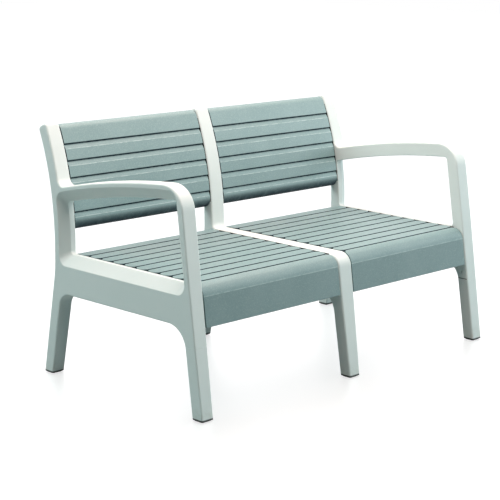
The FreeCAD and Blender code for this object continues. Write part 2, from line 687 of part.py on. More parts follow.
def back_hollow(x0, x1):
    """Space behind the skin of a back, open to the rear."""
    ease = BACK_TOP_CHAMFER + BACK_SKIN * (math.sqrt(2) - 1)
    rear = BACK_DEPTH + BACK_SKIN
    inner = BACK_BOTTOM_ROLL - BACK_SKIN

    def at(depth, run):
        return polar(BACK_RADIUS - depth, back_angle(run))
    top = BACK_TOP_DROP + BACK_SKIN
    shoulder = BACK_TOP_DROP + ease
    foot = roll_foot(inner, BACK_BOTTOM_ROLL)
    edges = [line(at(rear, top), at(ease, top)), line(at(ease, top), at(BACK_SKIN, shoulder)),
             arc(CURVE, at(BACK_SKIN, shoulder), at(BACK_SKIN, ROLL_RUN)),
             arc(at(BACK_BOTTOM_ROLL, ROLL_RUN), at(BACK_SKIN, ROLL_RUN), foot),
             line(foot, roll_foot(inner, rear)), line(roll_foot(inner, rear), at(rear, top))]
    return slab(edges, x0, x1)


def back_left(z):
    """Left end of the left back at a height."""
    return side_inner(z) + BACK_GAP


def back_right(z):
    """Right end of the left back at a height."""
    return centre_face(z) - BACK_GAP


def tenon_spots():
    """Angle and middle of each tenon in side view."""
    runs = [GROOVE_RUNS[i] + BACK_PITCH / 2 for i in TENON_GROOVES]
    return [(back_angle(run), polar(BACK_RADIUS - TENON_SETBACK, back_angle(run))) for run in runs]


def tenon(end_x, outward, spot, angle, clearance):
    """Tenon at an end of a back, grown by a clearance; outward is +1 or -1 along X."""
    root = end_x - outward * TENON_ROOT
    return turned_box(root, outward * (TENON_ROOT + TENON_REACH + clearance), TENON_DEPTH + 2 * clearance,
                      TENON_HEIGHT + 2 * clearance, spot, angle)


def back_ends():
    """Each end of the left back's tenons: end face, way out and the frame's face, with spot and angle."""
    ends = []
    for angle, spot in tenon_spots():
        ends.append((back_left(spot[1]), -1, side_inner(spot[1]), spot, angle))
        ends.append((back_right(spot[1]), 1, centre_face(spot[1]), spot, angle))
    return ends


def back_screw_seat(end):
    """Seat of the screw that holds a tenon, and the way it points."""
    face_x = end[2]
    x = face_x + end[1] * (TENON_REACH - BACK_GAP) / 2
    seat_spot = polar(UPRIGHT_REAR_RADIUS + SCREW_SINK, end[4])
    return V(x, seat_spot[0], seat_spot[1]), V(0, -math.cos(end[4]), math.sin(end[4]))


def back():
    """Left back: lapped slats in front, an open ribbed rear and tenons at both ends."""
    x0 = back_left(SEAT_HEIGHT)
    x1 = back_right(HEIGHT + OVERRUN)
    whole = back_web(x0, x1).common(between(back_left, back_right))
    hollow = back_hollow(x0, x1).common(between(lambda z: back_left(z) + BACK_WALL,
                                                lambda z: back_right(z) - BACK_WALL))
    body = whole.cut(hollow)
    step = (x1 - x0) / (BACK_CROSS_RIBS + 1)
    pieces = [back_web(x0 + step * (i + 1), x0 + step * (i + 1) + BACK_RIB) for i in range(BACK_CROSS_RIBS)]
    for run in GROOVE_RUNS:
        spot = polar(BACK_RADIUS - BACK_SKIN - BACK_RIB_DEPTH / 2, back_angle(run))
        rib = turned_box(x0, x1 - x0, BACK_RIB_DEPTH + BACK_RIB, BACK_RIB, spot, back_angle(run))
        pieces.append(rib.common(between(back_left, back_right)))
    pieces += [tenon(end[0], end[1], end[3], end[4], 0) for end in back_ends()]
    body = body.multiFuse(pieces).removeSplitter()
    return body.cut([screw_hole(*back_screw_seat(end)) for end in back_ends()])


def side_frame():
    """Left side frame without its lower front leg, and that leg."""
    body = frame_slab(side_front, SIDE_X - 2 * OVERRUN, SIDE_X + SIDE_TOP_REACH + OVERRUN,
                      [(ARM_FRONT, ARM_CORNER_RADIUS), (ARM_REAR, ARM_ROOT_RADIUS)])
    body = soften(body.common(side_envelope()))
    cutters = arm_funnel()
    body = body.cut(list(cutters))
    body = body.makeFillet(RIM_RADIUS, rim_edges(body, cutters))
    below = Part.makeBox(SIDE_TOP_REACH + 2 * OVERRUN, DEPTH / 2 + OVERRUN, SEAM_HEIGHT + OVERRUN,
                         V(SIDE_X - OVERRUN, TOE_Y - OVERRUN, -OVERRUN))
    leg = body.common(below)
    leg = leg.makeChamfer(SEAM_CHAMFER, edges_on(leg, lambda p: abs(p.z - SEAM_HEIGHT) < NEAR))
    feet = foot_spots()
    leg = leg.fuse(plug(0)).removeSplitter()
    leg = leg.cut([screw_hole(*leg_screw_seat()), peg(feet["left_front"], FIT_CLEARANCE)])
    body = body.cut(below).fuse(ledge(side_inner(LEDGE_TOP), 1)).removeSplitter()
    holes = [plug(FIT_CLEARANCE), screw_hole(*leg_screw_seat()), peg(feet["left_rear"], FIT_CLEARANCE)]
    holes += [screw_hole(spot, V(0, 0, 1)) for spot in seat_screw_spots()]
    ends = [end for end in back_ends() if end[1] < 0]
    holes += [tenon(end[0], end[1], end[3], end[4], FIT_CLEARANCE) for end in ends]
    holes += [screw_hole(*back_screw_seat(end)) for end in ends]
    return body.cut(holes), leg


def centre_frame():
    """Centre frame with a ledge on each side."""
    body = frame_slab(centre_front, -CENTRE_RAIL_THICKNESS, CENTRE_RAIL_THICKNESS,
                      [(STRIP_FRONT, FRONT_ROLL_RADIUS), (STRIP_REAR, STRIP_REAR_RADIUS)])
    body = soften(body.common(centre_envelope()))
    left = ledge(centre_face(LEDGE_TOP), -1)
    body = body.multiFuse([left, mirrored(left)]).removeSplitter()
    feet = foot_spots()
    holes = [peg(feet[name], FIT_CLEARANCE) for name in ("centre_front", "centre_rear")]
    ends = [end for end in back_ends() if end[1] > 0]
    pairs = [screw_hole(spot, V(0, 0, 1)) for spot in seat_screw_spots()]
    pairs += [tenon(end[0], end[1], end[3], end[4], FIT_CLEARANCE) for end in ends]
    pairs += [screw_hole(*back_screw_seat(end)) for end in ends]
    return body.cut(holes + pairs + [mirrored(hole) for hole in pairs])


def save(name, shapes):
    """Writes the solids of one node."""
    shape = shapes[0] if len(shapes) == 1 else Part.makeCompound(shapes)
    print(name, shape.isValid(), len(shape.Solids), round(shape.Volume / 1000, 1))
    shape.exportStep("parts/%s.step" % name)


def save_pair(name, shapes):
    """Writes a left piece and its mirror image on the right."""
    save("left_" + name, shapes)
    save("right_" + name, [mirrored(shape) for shape in shapes])


def main():
    """Builds every piece of the bench and writes it."""
    os.makedirs("parts", exist_ok=True)
    frame, leg = side_frame()
    save_pair("side_frame", [frame])
    save_pair("front_leg", [leg])
    save("centre_frame", [centre_frame()])
    save_pair("seat", [seat()])
    save_pair("back", [back()])
    feet = foot_spots()
    for name in ("front", "rear"):
        save_pair(name + "_glide", [glide(feet["left_" + name])])
        save("centre_" + name + "_glide", [glide(feet["centre_" + name])])
    save_pair("seat_screws", [screw(spot, V(0, 0, 1)) for spot in seat_screw_spots()])
    save_pair("back_screws", [screw(*back_screw_seat(end)) for end in back_ends()])
    leg_screw = screw(*leg_screw_seat())
    save("front_leg_screws", [leg_screw, mirrored(leg_screw)])


main()
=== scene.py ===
"""Looks of a garden bench for two: slatted seats and backs, screws, finishes, lamps, floor and camera."""

import json
import logging
import math
from dataclasses import dataclass, field
from enum import Enum
from functools import reduce
from typing import NamedTuple, Sequence

import bpy
import numpy as np
from mathutils import Matrix, Vector


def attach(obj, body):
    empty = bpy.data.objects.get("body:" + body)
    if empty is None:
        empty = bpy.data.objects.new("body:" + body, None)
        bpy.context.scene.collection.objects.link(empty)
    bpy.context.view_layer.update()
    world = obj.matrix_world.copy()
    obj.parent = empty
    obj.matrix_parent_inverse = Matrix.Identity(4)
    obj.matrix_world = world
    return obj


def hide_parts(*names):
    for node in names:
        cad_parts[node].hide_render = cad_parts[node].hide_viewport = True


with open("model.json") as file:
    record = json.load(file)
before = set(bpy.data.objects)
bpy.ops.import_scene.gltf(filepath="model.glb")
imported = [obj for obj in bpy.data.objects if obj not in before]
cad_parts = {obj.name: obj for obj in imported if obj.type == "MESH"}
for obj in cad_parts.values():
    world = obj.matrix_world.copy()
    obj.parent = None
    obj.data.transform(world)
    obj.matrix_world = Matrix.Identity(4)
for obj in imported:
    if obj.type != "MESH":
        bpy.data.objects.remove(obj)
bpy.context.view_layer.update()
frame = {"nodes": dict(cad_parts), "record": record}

LOG = logging.getLogger("bench")
MM = 0.001
BODY = "root"
END_RINGS = 4
SAME_POINT = 1e-6
UPWARD = (0.0, 0.0, 1.0)
ASKEW = (0.3, 0.8, 0.5)

Array = np.ndarray
Socket = bpy.types.NodeSocket
Sockets = dict[str, Socket]
Colour = tuple[float, float, float]
Place = tuple[float, float, float]
Span = tuple[float, float]


class Slot(Enum):
    """Finishes of the bench, by the slot that each takes in the part's record."""

    FRAME = "frame_resin"
    SLAT = "slat_resin"
    GLIDE = "glide"
    SCREW = "screw"


class Side(Enum):
    """Halves of the bench, with the sign of X on each."""

    LEFT = -1
    RIGHT = 1

    @property
    def label(self) -> str:
        """Start of the names of the pieces on this half."""
        return self.name.lower()


class Mark(Enum):
    """Values kept at each vertex of the slatted pieces for their finish: painted shade and painted
    highlight.
    """

    CAVITY = "cavity"
    ARRIS = "arris"


class Corner(NamedTuple):
    """Corner of a section: place along and above the path, rounding, painted shade and highlight, end
    pull-in.
    """

    run: float
    rise: float
    radius: float
    # Shares of painted shade and of painted highlight at this corner.
    cavity: float = 0.0
    arris: float = 0.0
    tuck: float = 0.0


@dataclass
class Outline:
    """Section as arrays, a row for each point: points, outward normals, and marks with the pull-in."""

    points: Array
    normals: Array
    marks: Array

    @classmethod
    def rounded(cls, corners: Sequence[Corner], steps: int = 5) -> "Outline":
        """Section whose corners, given anticlockwise, are rounded.

        Each corner's arc has its centre at P - s r (n0 + n1) / (1 + n0.n1), where n0 and n1 are the
        outward normals of the two sides and s is +1 on a convex corner and -1 on a hollow one. Its
        points are the centre plus s r n, where n turns evenly from n0 to n1.

        Args:
            corners: Corners in order, with the material on the left of the way round.
            steps: Points on each rounded corner.

        Returns:
            The section in run and rise.
        """
        spots = np.array([(c.run, c.rise) for c in corners])
        radii = np.array([c.radius for c in corners])[:, None, None]
        marks = np.array([(c.cavity, c.arris, c.tuck) for c in corners])
        ways = np.roll(spots, -1, axis=0) - spots
        ways /= np.linalg.norm(ways, axis=1, keepdims=True)
        normal_after = np.stack([ways[:, 1], -ways[:, 0]], axis=1)
        normal_before = np.roll(normal_after, 1, axis=0)
        before = np.roll(ways, 1, axis=0)
        cross = before[:, 0] * ways[:, 1] - before[:, 1] * ways[:, 0]
        dot = np.sum(before * ways, axis=1)
        bulge = np.sign(cross)[:, None, None]
        outward = (normal_before + normal_after) / (1 + dot[:, None])
        centre = spots[:, None] - bulge * radii * outward[:, None]
        start = np.arctan2(normal_before[:, 1], normal_before[:, 0])
        angle = start[:, None] + np.arctan2(cross, dot)[:, None] * np.linspace(0, 1, steps)
        normals = np.stack([np.cos(angle), np.sin(angle)], axis=2)
        points = (centre + bulge * radii * normals).reshape(-1, 2)
        apart = np.linalg.norm(np.roll(points, -1, axis=0) - points, axis=1) > SAME_POINT
        return cls(points[apart], normals.reshape(-1, 2)[apart], np.repeat(marks, steps, axis=0)[apart])

    def refined(self, limit: float) -> "Outline":
        """Section with evenly spaced points put into every side that is longer than a limit.

        Args:
            limit: Longest side to keep whole.

        Returns:
            The finer section.
        """
        gaps = np.linalg.norm(np.roll(self.points, -1, axis=0) - self.points, axis=1)
        count = np.maximum(np.ceil(gaps / limit), 1).astype(int)
        index = np.repeat(np.arange(len(count)), count)
        first = np.repeat(np.cumsum(count) - count, count)
        share = ((np.arange(count.sum()) - first) / count[index])[:, None]

        def blend(rows: Array) -> Array:
            """Rows spread evenly between each row and the next."""
            return rows[index] * (1 - share) + np.roll(rows, -1, axis=0)[index] * share

        normals = blend(self.normals)
        normals /= np.linalg.norm(normals, axis=1, keepdims=True)
        return Outline(blend(self.points), normals, blend(self.marks))


@dataclass(frozen=True)
class Bend:
    """Side-view path that runs straight, turns on an arc and runs straight again.

    Attributes:
        centre: Middle of the arc in Y and Z.
        radius: Radius of the arc.
        rate: Run along the path for each radian of the turn.
        first: Angle of the outward normal above the level before the arc.
        last: Angle of the outward normal after the arc.
        start: Run at which the arc begins.
    """

    centre: Span
    radius: float
    rate: float
    first: float
    last: float
    start: float

    def place(self, flat: Outline) -> Outline:
        """Section laid along the path.

        The normal's angle is a = first - (run - start) / rate, held between first and last. A point is
        centre + (radius + rise) N(a) + rest T(a), where N = (-cos a, sin a), T = (-sin a, -cos a) and
        rest is the run that is left before or after the arc.

        Args:
            flat: Section in run and rise.

        Returns:
            The section in Y and Z, anticlockwise seen from +X.
        """
        run, rise = flat.points.T
        turn = np.clip((run - self.start) / self.rate, 0, self.first - self.last)
        angle = self.first - turn
        rest = run - self.start - turn * self.rate
        normal = np.stack([-np.cos(angle), np.sin(angle)], axis=1)
        along = np.stack([-np.sin(angle), -np.cos(angle)], axis=1)
        points = np.array(self.centre) + normal * (self.radius + rise)[:, None] + along * rest[:, None]
        stretch = np.where(np.abs(rest) > 0, 1.0, (self.radius + rise) / self.rate)
        normals = along * (flat.normals[:, 0] / stretch)[:, None] + normal * flat.normals[:, 1:]
        normals /= np.linalg.norm(normals, axis=1, keepdims=True)
        return Outline(points[::-1], normals[::-1], flat.marks[::-1])


class Edge(NamedTuple):
    """End of a piece: X at floor level and how X changes with each unit of height."""

    base: float
    slope: float = 0.0

    def at(self, height: float | Array) -> float | Array:
        """X of the end at a height, or at each of an array of heights."""
        return self.base + self.slope * height

    def moved(self, distance: float) -> "Edge":
        """Same end, moved along X."""
        return Edge(self.base + distance, self.slope)

    def mirrored(self) -> "Edge":
        """Same end on the other half of the bench."""
        return Edge(-self.base, -self.slope)


@dataclass(frozen=True)
class CrossRecess:
    """Cross pressed into the top of a screw's head, in millimetres.

    Attributes:
        depth: Depth of the cross.
        half: Half the width of an arm.
        wall: Width of an arm's sloping wall.
        reach: Distance of an arm's end from the middle.
        ramp: Length of the slope at an arm's end.
        zone: Height of the part of the head that the cross may lower.
    """

    depth: float = 1.5
    half: float = 1.0
    wall: float = 0.5
    reach: float = 2.9
    ramp: float = 0.6
    zone: float = 1.6

    def drop(self, flat: Array, height: Array) -> Array:
        """How far the cross lowers each point of a head.

        It is the depth times a smooth step of the distance from the nearer arm's middle line and from the
        arm's end.

        Args:
            flat: Rings by points by place square to the screw.
            height: Height of each ring.

        Returns:
            Rings by points.
        """
        near, far = np.abs(flat).min(axis=2), np.abs(flat).max(axis=2)
        arm = np.clip((self.half - near) / self.wall, 0, 1)
        arm = arm * np.clip((self.reach - far) / self.ramp, 0, 1)
        top = (height > height.max() - self.zone)[:, None]
        return self.depth * top * arm * arm * (3 - 2 * arm)


@dataclass
class Shell:
    """Closed surface made of rings of points, with a cap at each end.

    Attributes:
        points: Rings by points by XYZ, each ring anticlockwise about the way from first to last ring.
        normals: Outward normals in the same order.
        marks: Rings by points by marks.
    """

    points: Array
    normals: Array
    marks: Array

    @classmethod
    def swept(cls, section: Outline, start: Edge, end: Edge, radius: float, shade_paint: float = 0.0) -> "Shell":
        """Section carried along X between two ends, with rounded end edges.

        At an angle a of the end's rounding, a ring is pulled in along its own normals by r (1 - sin a) and
        lies r (1 - cos a) inside the end, and further in by the section's own pull-in. Its normals are
        n sin a plus the end's way out times cos a.

        Args:
            section: Section in Y and Z.
            start: End on the low side of X.
            end: End on the high side of X.
            radius: Rounding of both end edges.
            shade_paint: Least painted shade on the two end faces.

        Returns:
            The closed surface.
        """
        angle = np.linspace(0, math.pi / 2, END_RINGS)
        angles = np.concatenate([angle, angle[::-1]])[:, None]
        way = np.repeat([-1.0, 1.0], END_RINGS)[:, None]
        inset = radius * (1 - np.sin(angles))[..., None]
        flat = section.points[None] - section.normals[None] * inset
        ends = np.where(way < 0, start.at(flat[..., 1]), end.at(flat[..., 1]))
        x = ends - way * (radius * (1 - np.cos(angles)) + section.marks[None, :, 2])
        across = np.broadcast_to(way * np.cos(angles), x.shape)
        inside = section.normals[None] * np.sin(angles)[..., None]
        points = np.concatenate([x[..., None], flat], axis=2)
        normals = np.concatenate([across[..., None], inside], axis=2)
        marks = np.tile(section.marks, (2 * END_RINGS, 1, 1))
        # Painted shade on the two end faces, which lie in the gaps beside the frames.
        marks[[0, -1], :, 0] = np.maximum(marks[[0, -1], :, 0], shade_paint)
        return cls(points, normals, marks)

    @classmethod
    def turned(cls, profile: Outline, spot: Place, axis: Place, count: int,
               recess: CrossRecess | None = None) -> "Shell":
        """Profile of radius and height turned about an axis, with or without a cross recess in its top.

        A point is spot + u rho cos t + v rho sin t + axis h, with u and v square to the axis.

        Args:
            profile: Open profile from the low end to the high end, as radius and height.
            spot: Origin of the profile.
            axis: Unit vector along which the height runs.
            count: Points on each ring.
            recess: Cross recess in the top.

        Returns:
            The closed surface.
        """
        way = np.array(axis)
        turn = np.linspace(0, 2 * math.pi, count, endpoint=False)
        side = np.cross(way, ASKEW)
        side /= np.linalg.norm(side)
        other = np.cross(way, side)
        ring = side * np.cos(turn)[:, None] + other * np.sin(turn)[:, None]
        rho, height = profile.points.T
        flat = rho[:, None, None] * np.stack([np.cos(turn), np.sin(turn)], axis=1)
        drop = recess.drop(flat, height) if recess else np.zeros(flat.shape[:2])
        lift = height[:, None] - drop
        points = np.array(spot) + ring * rho[:, None, None] + way * lift[..., None]
        normals = ring * profile.normals[:, :1, None] + way * profile.normals[:, 1:, None]
        return cls(points, np.broadcast_to(normals, points.shape), np.zeros(points.shape[:2] + (3,)))


def linked(name: str, data: bpy.types.ID) -> bpy.types.Object:
    """Puts a new object into the scene.

    Args:
        name: Name of the object.
        data: Its mesh, lamp or camera.

    Returns:
        The object.
    """
    piece = bpy.data.objects.new(name, data)
    bpy.context.scene.collection.objects.link(piece)
    return piece


@dataclass
class Moulding:
    """Shells that make up one visible piece, in millimetres."""

    name: str
    shells: list[Shell] = field(default_factory=list)

    def add(self, shell: Shell) -> None:
        """Puts one more shell into the piece."""
        self.shells.append(shell)

    def build(self) -> bpy.types.Object:
        """Makes one mesh of the shells, with its normals and marks, and links it to the scene.

        Returns:
            The object, with its place in its mesh.
        """
        points, normals, marks, faces, offset = [], [], [], [], 0
        for shell in self.shells:
            rings, count = shell.points.shape[:2]
            index = offset + np.arange(rings * count).reshape(rings, count)
            onward = np.roll(index, -1, axis=1)
            quads = np.stack([index[:-1], onward[:-1], onward[1:], index[1:]], axis=-1)
            faces += quads.reshape(-1, 4).tolist() + [index[0, ::-1].tolist(), index[-1].tolist()]
            points.append(shell.points.reshape(-1, 3))
            normals.append(shell.normals.reshape(-1, 3))
            marks.append(shell.marks.reshape(-1, 3))
            offset += rings * count
        mesh = bpy.data.meshes.new(self.name)
        mesh.from_pydata(np.concatenate(points) * MM, [], faces)
        mesh.polygons.foreach_set("use_smooth", np.ones(len(mesh.polygons), dtype=bool))
        values = np.concatenate(marks).astype(np.float32)
        # Painted shade and painted highlight shares become attributes for the slats' finish.
        for column, mark in enumerate(Mark):
            attribute = mesh.attributes.new(mark.value, "FLOAT", "POINT")
            attribute.data.foreach_set("value", np.ascontiguousarray(values[:, column]))
        mesh.normals_split_custom_set_from_vertices(np.concatenate(normals))
        return linked(self.name, mesh)


def strip(run: float, width: float, top: float, bottom: float, radius: float) -> Outline:
    """Flat section of a beam or tenon: a rounded rectangle across the path.

    Args:
        run: Middle of the rectangle along the path.
        width: Size along the path.
        top: Upper rise.
        bottom: Lower rise.
        radius: Rounding of the corners.

    Returns:
        The section in run and rise.
    """
    low, high = run - width / 2, run + width / 2
    spots = [(high, bottom), (high, top), (low, top), (low, bottom)]
    return Outline.rounded([Corner(a, b, radius) for a, b in spots], steps=4)


@dataclass(frozen=True)
class BenchLines:
    """Lines of the frames that the slatted pieces fit between, in millimetres."""

    width: float = 1270.0
    height: float = 738.0
    rake: float = math.radians(9.0)
    toe: float = -348.0
    seat_height: float = 365.0
    side_foot: float = 44.0
    side_reach: float = 57.5
    swell_height: float = 300.0
    rail: float = 58.0
    crown: float = 53.0
    sweep_radius: float = 900.0
    sweep_base: float = 362.0
    upright: float = 37.0
    top_angle: float = math.radians(24.926286)
    back_line: float = 234.477

    @property
    def sweep_centre(self) -> Span:
        """Middle of the arc that the uprights follow."""
        return self.back_line + self.sweep_radius, self.sweep_base

    @property
    def side_face(self) -> Edge:
        """Inner face of the left side frame."""
        return Edge(self.side_foot - self.width / 2, (self.side_reach - self.side_foot) / self.height)

    @property
    def centre_face(self) -> Edge:
        """Left face of the centre frame above its widest height."""
        slope = (self.rail - self.crown) / 2 / (self.height - self.swell_height)
        return Edge(-self.rail / 2 - slope * self.swell_height, slope)

    def leg_front(self, height: float) -> float:
        """Y of the front of the front legs at a height."""
        return self.toe + math.tan(self.rake) * height

    def ends(self, side: Side, gap: float) -> tuple[Edge, Edge]:
        """Ends of a piece that fits between a side frame and the centre frame.

        Args:
            side: Half of the bench.
            gap: Gap at each end.

        Returns:
            The ends on the low and on the high side of X.
        """
        outer, inner = self.side_face.moved(gap), self.centre_face.moved(-gap)
        if side is Side.LEFT:
            return outer, inner
        return inner.mirrored(), outer.mirrored()


@dataclass(frozen=True)
class Stiffening:
    """Walls at the ends, ribs across and beams along a slatted piece, in millimetres.

    Attributes:
        wall: Thickness of the walls.
        rib: Thickness of the ribs and beams.
        cross_ribs: Ribs between the two end walls.
        wall_inset: How far the end walls lie inside the skin's ends.
        beam_inset: How far the beams lie inside the skin's ends.
        overlap: How far ribs, beams and bosses reach into the skin.
        corner: Rounding of the corners of their sections.
        web_round: Rounding of the end edges of walls and ribs.
        beam_round: Rounding of the end edges of beams.
    """

    wall: float = 4.0
    rib: float = 3.0
    cross_ribs: int = 4
    wall_inset: float = 0.2
    beam_inset: float = 2.0
    overlap: float = 1.0
    corner: float = 0.8
    web_round: float = 0.7
    beam_round: float = 0.5

    def beam(self, run: float, skin: float, bottom: float) -> Outline:
        """Flat section of a beam from inside a skin of some thickness down to a rise."""
        return strip(run, self.rib, self.overlap - skin, bottom, self.corner)

    def fit(self, piece: Moulding, ends: tuple[Edge, Edge], height: float, wall: Outline, rib: Outline,
            beams: Sequence[Outline]) -> None:
        """Puts two walls, evenly spaced ribs and the beams into a piece.

        Args:
            piece: Piece to stiffen.
            ends: Ends of the piece's skin.
            height: Height at which the ribs are evenly spaced.
            wall: Section of the walls in Y and Z.
            rib: Section of the ribs in Y and Z.
            beams: Sections of the beams in Y and Z.
        """
        start, end = ends
        piece.add(Shell.swept(wall, start.moved(self.wall_inset), start.moved(self.wall), self.web_round))
        piece.add(Shell.swept(wall, end.moved(-self.wall), end.moved(-self.wall_inset), self.web_round))
        first, last = start.at(height), end.at(height)
        step = (last - first) / (self.cross_ribs + 1)
        for index in range(1, self.cross_ribs + 1):
            middle = Edge(first + step * index)
            left, right = middle.moved(-self.rib / 2), middle.moved(self.rib / 2)
            piece.add(Shell.swept(rib, left, right, self.web_round))
        for beam in beams:
            piece.add(Shell.swept(beam, start.moved(self.beam_inset), end.moved(-self.beam_inset),
                                  self.beam_round))


@dataclass
class Seat:
    """Slatted seat with a front roll, a deep apron and ribs under it, in millimetres.

    At its ends a slat's corners beside a groove curve back on three chords. end_curve gives each chord's
    distance from the groove and its pull-in, as shares of the rounding.
    """

    side: Side
    lines: BenchLines
    stiff: Stiffening = Stiffening()
    slats: int = 10
    skin: float = 8.0
    gap: float = 2.5
    roll: float = 40.0
    apron_low: float = 248.0
    recess: float = 1.5
    groove_top: float = 8.0
    groove_floor: float = 5.5
    groove_depth: float = 5.5
    groove_round: float = 0.8
    shoulder: float = 0.25
    shade_start: float = 0.3
    crease: float = 0.3
    blend: float = 0.5
    end_round: float = 13.0
    end_curve: tuple[Span, ...] = ((1, 0), (2 / 3, 1 / 6), (1 / 3, 1 / 2))
    end_edge: float = 0.2
    # Painted shade on the end faces, on the apron and on the roll.
    end_shade: float = 0.3
    apron_shade: float = 0.31
    roll_shade: float = 0.26
    seam: float = 6.0
    seam_width: float = 1.0
    # Painted highlight along the line where the roll meets the apron.
    seam_highlight: float = 0.8
    hem: float = 1.5
    rear_round: float = 5.0
    skirt: float = 42.0
    skirt_round: float = 1.0
    inner_round: float = 2.0
    facet: float = 4.0
    wall_depth: float = 30.0
    rib_depth: float = 24.0
    web_clear: Span = (1.5, 2.5)
    beam_every: int = 2
    boss: float = 6.5
    boss_core: float = 0.1
    boss_chamfer: float = 0.8
    boss_sides: int = 24
    boss_offset: float = 8.5
    boss_spots: Span = (-162.94, 144.48)

    @property
    def path(self) -> Bend:
        """Line of the seat's top, roll and apron, from the rear to the apron's lower edge.

        Returns:
            The path.
        """
        lean, high = self.lines.rake, self.lines.seat_height - self.roll
        touch = high + self.roll * math.sin(lean)
        middle = self.lines.leg_front(touch) + self.recess + self.roll * math.cos(lean)
        return Bend((middle, high), self.roll, self.roll, math.pi / 2, lean, self.lines.back_line - middle)

    @property
    def roll_end(self) -> float:
        """Run at which the roll meets the apron."""
        return self.path.start + self.roll * (math.pi / 2 - self.lines.rake)

    @property
    def apron_end(self) -> float:
        """Run at the lower edge of the apron."""
        lean, high = self.lines.rake, self.path.centre[1]
        return self.roll_end + (high + self.roll * math.sin(lean) - self.apron_low) / math.cos(lean)

    @property
    def pitch(self) -> float:
        """Run from one groove to the next."""
        return self.path.start / self.slats

    @property
    def ends(self) -> tuple[Edge, Edge]:
        """Upright ends of the seat."""
        start, end = self.lines.ends(self.side, self.gap)
        return Edge(start.at(self.lines.seat_height)), Edge(end.at(self.lines.seat_height))

    @property
    def boss_places(self) -> list[Span]:
        """X and Y of the screw bosses, which stand inside both ends.

        Returns:
            The places of the bosses.
        """
        start, end = self.ends
        across = (start.base + self.boss_offset, end.base - self.boss_offset)
        return [(x, y) for x in across for y in self.boss_spots]

    def groove(self, run: float) -> list[Corner]:
        """Corners of one groove between two slats.

        Args:
            run: Middle of the groove.

        Returns:
            The corners from the front to the rear.
        """
        half, low, full = self.groove_top / 2, self.groove_floor / 2, self.end_round
        lean = self.shade_start * (half - low) / self.groove_depth
        front = [Corner(half + full * away, 0, self.blend, tuck=full * pull)
                 for away, pull in self.end_curve]
        # The groove's walls and floor take full painted shade.
        front += [Corner(half, 0, self.shoulder, tuck=full),
                  Corner(half - lean, -self.shade_start, self.crease, cavity=1.0, tuck=full),
                  Corner(low, -self.groove_depth, self.groove_round, cavity=1.0)]
        rear = [corner._replace(run=-corner.run) for corner in reversed(front)]
        return [corner._replace(run=run + corner.run) for corner in front + rear]

    def skin_section(self) -> Outline:
        """Section of the skin: apron, roll, slats and rear skirt.

        Returns:
            The section in Y and Z.
        """
        end, turned, wall = self.apron_end, self.roll_end, self.stiff.wall
        half_turned = (self.path.start + turned) / 2
        # Painted shade on the apron and the roll, and a painted highlight where they meet.
        corners = [Corner(end, 0, self.hem, self.apron_shade),
                   Corner(turned + self.seam_width, 0, self.crease, self.apron_shade),
                   Corner(turned, 0, self.crease, arris=self.seam_highlight),
                   Corner(turned - self.seam, 0, self.blend, self.roll_shade),
                   Corner(half_turned, 0, self.blend, self.roll_shade)]
        for index in range(self.slats, 0, -1):
            corners += self.groove(self.pitch * index)
        corners += [Corner(0, 0, self.rear_round),
                    Corner(0, -self.skirt, self.skirt_round),
                    Corner(wall, -self.skirt, self.skirt_round),
                    Corner(wall, -self.skin, self.inner_round),
                    Corner(end - self.skin * math.tan(self.lines.rake), -self.skin, self.hem)]
        return self.path.place(Outline.rounded(corners).refined(self.facet))

    def web_section(self, depth: float) -> Outline:
        """Section of a wall or rib that crosses under the skin.

        Args:
            depth: Depth of its lower edge under the seat's top.

        Returns:
            The section in Y and Z.
        """
        low, high = (self.apron_end - clear for clear in self.web_clear)
        spots = [(low - depth * math.tan(self.lines.rake), -depth), (high, self.stiff.overlap - self.skin),
                 (self.stiff.wall / 2, self.stiff.overlap - self.skin), (self.stiff.wall / 2, -depth)]
        corners = [Corner(run, rise, self.stiff.corner) for run, rise in spots]
        return self.path.place(Outline.rounded(corners, steps=3).refined(self.facet))

    def boss_profile(self) -> Outline:
        """Profile of a screw boss: a post with a chamfered foot, from its foot up into the skin.

        Returns:
            The profile as radius and height.
        """
        core, edge = self.boss_core, self.boss_chamfer
        top = self.wall_depth - self.skin + self.stiff.overlap
        points = [[core, 0.0], [self.boss - edge, 0.0], [self.boss, edge], [self.boss, top], [core, top]]
        normals = [[0.0, -1.0], [0.4, -0.9], [1.0, 0.0], [1.0, 0.0], [0.0, 1.0]]
        return Outline(np.array(points), np.array(normals), np.zeros((len(points), 3)))

    def build(self) -> bpy.types.Object:
        """Makes the seat in place of its solid.

        Returns:
            The seat.
        """
        level, ends = self.lines.seat_height, self.ends
        piece = Moulding(self.side.label + "_slatted_seat")
        piece.add(Shell.swept(self.skin_section(), *ends, self.end_edge, self.end_shade))
        beams = [self.path.place(self.stiff.beam(self.pitch * index, self.skin, -self.rib_depth))
                 for index in range(self.beam_every, self.slats + 1, self.beam_every)]
        wall, rib = self.web_section(self.wall_depth), self.web_section(self.rib_depth)
        self.stiff.fit(piece, ends, level, wall, rib, beams)
        for x, y in self.boss_places:
            spot = (x, y, level - self.wall_depth)
            piece.add(Shell.turned(self.boss_profile(), spot, UPWARD, self.boss_sides))
        return piece.build()


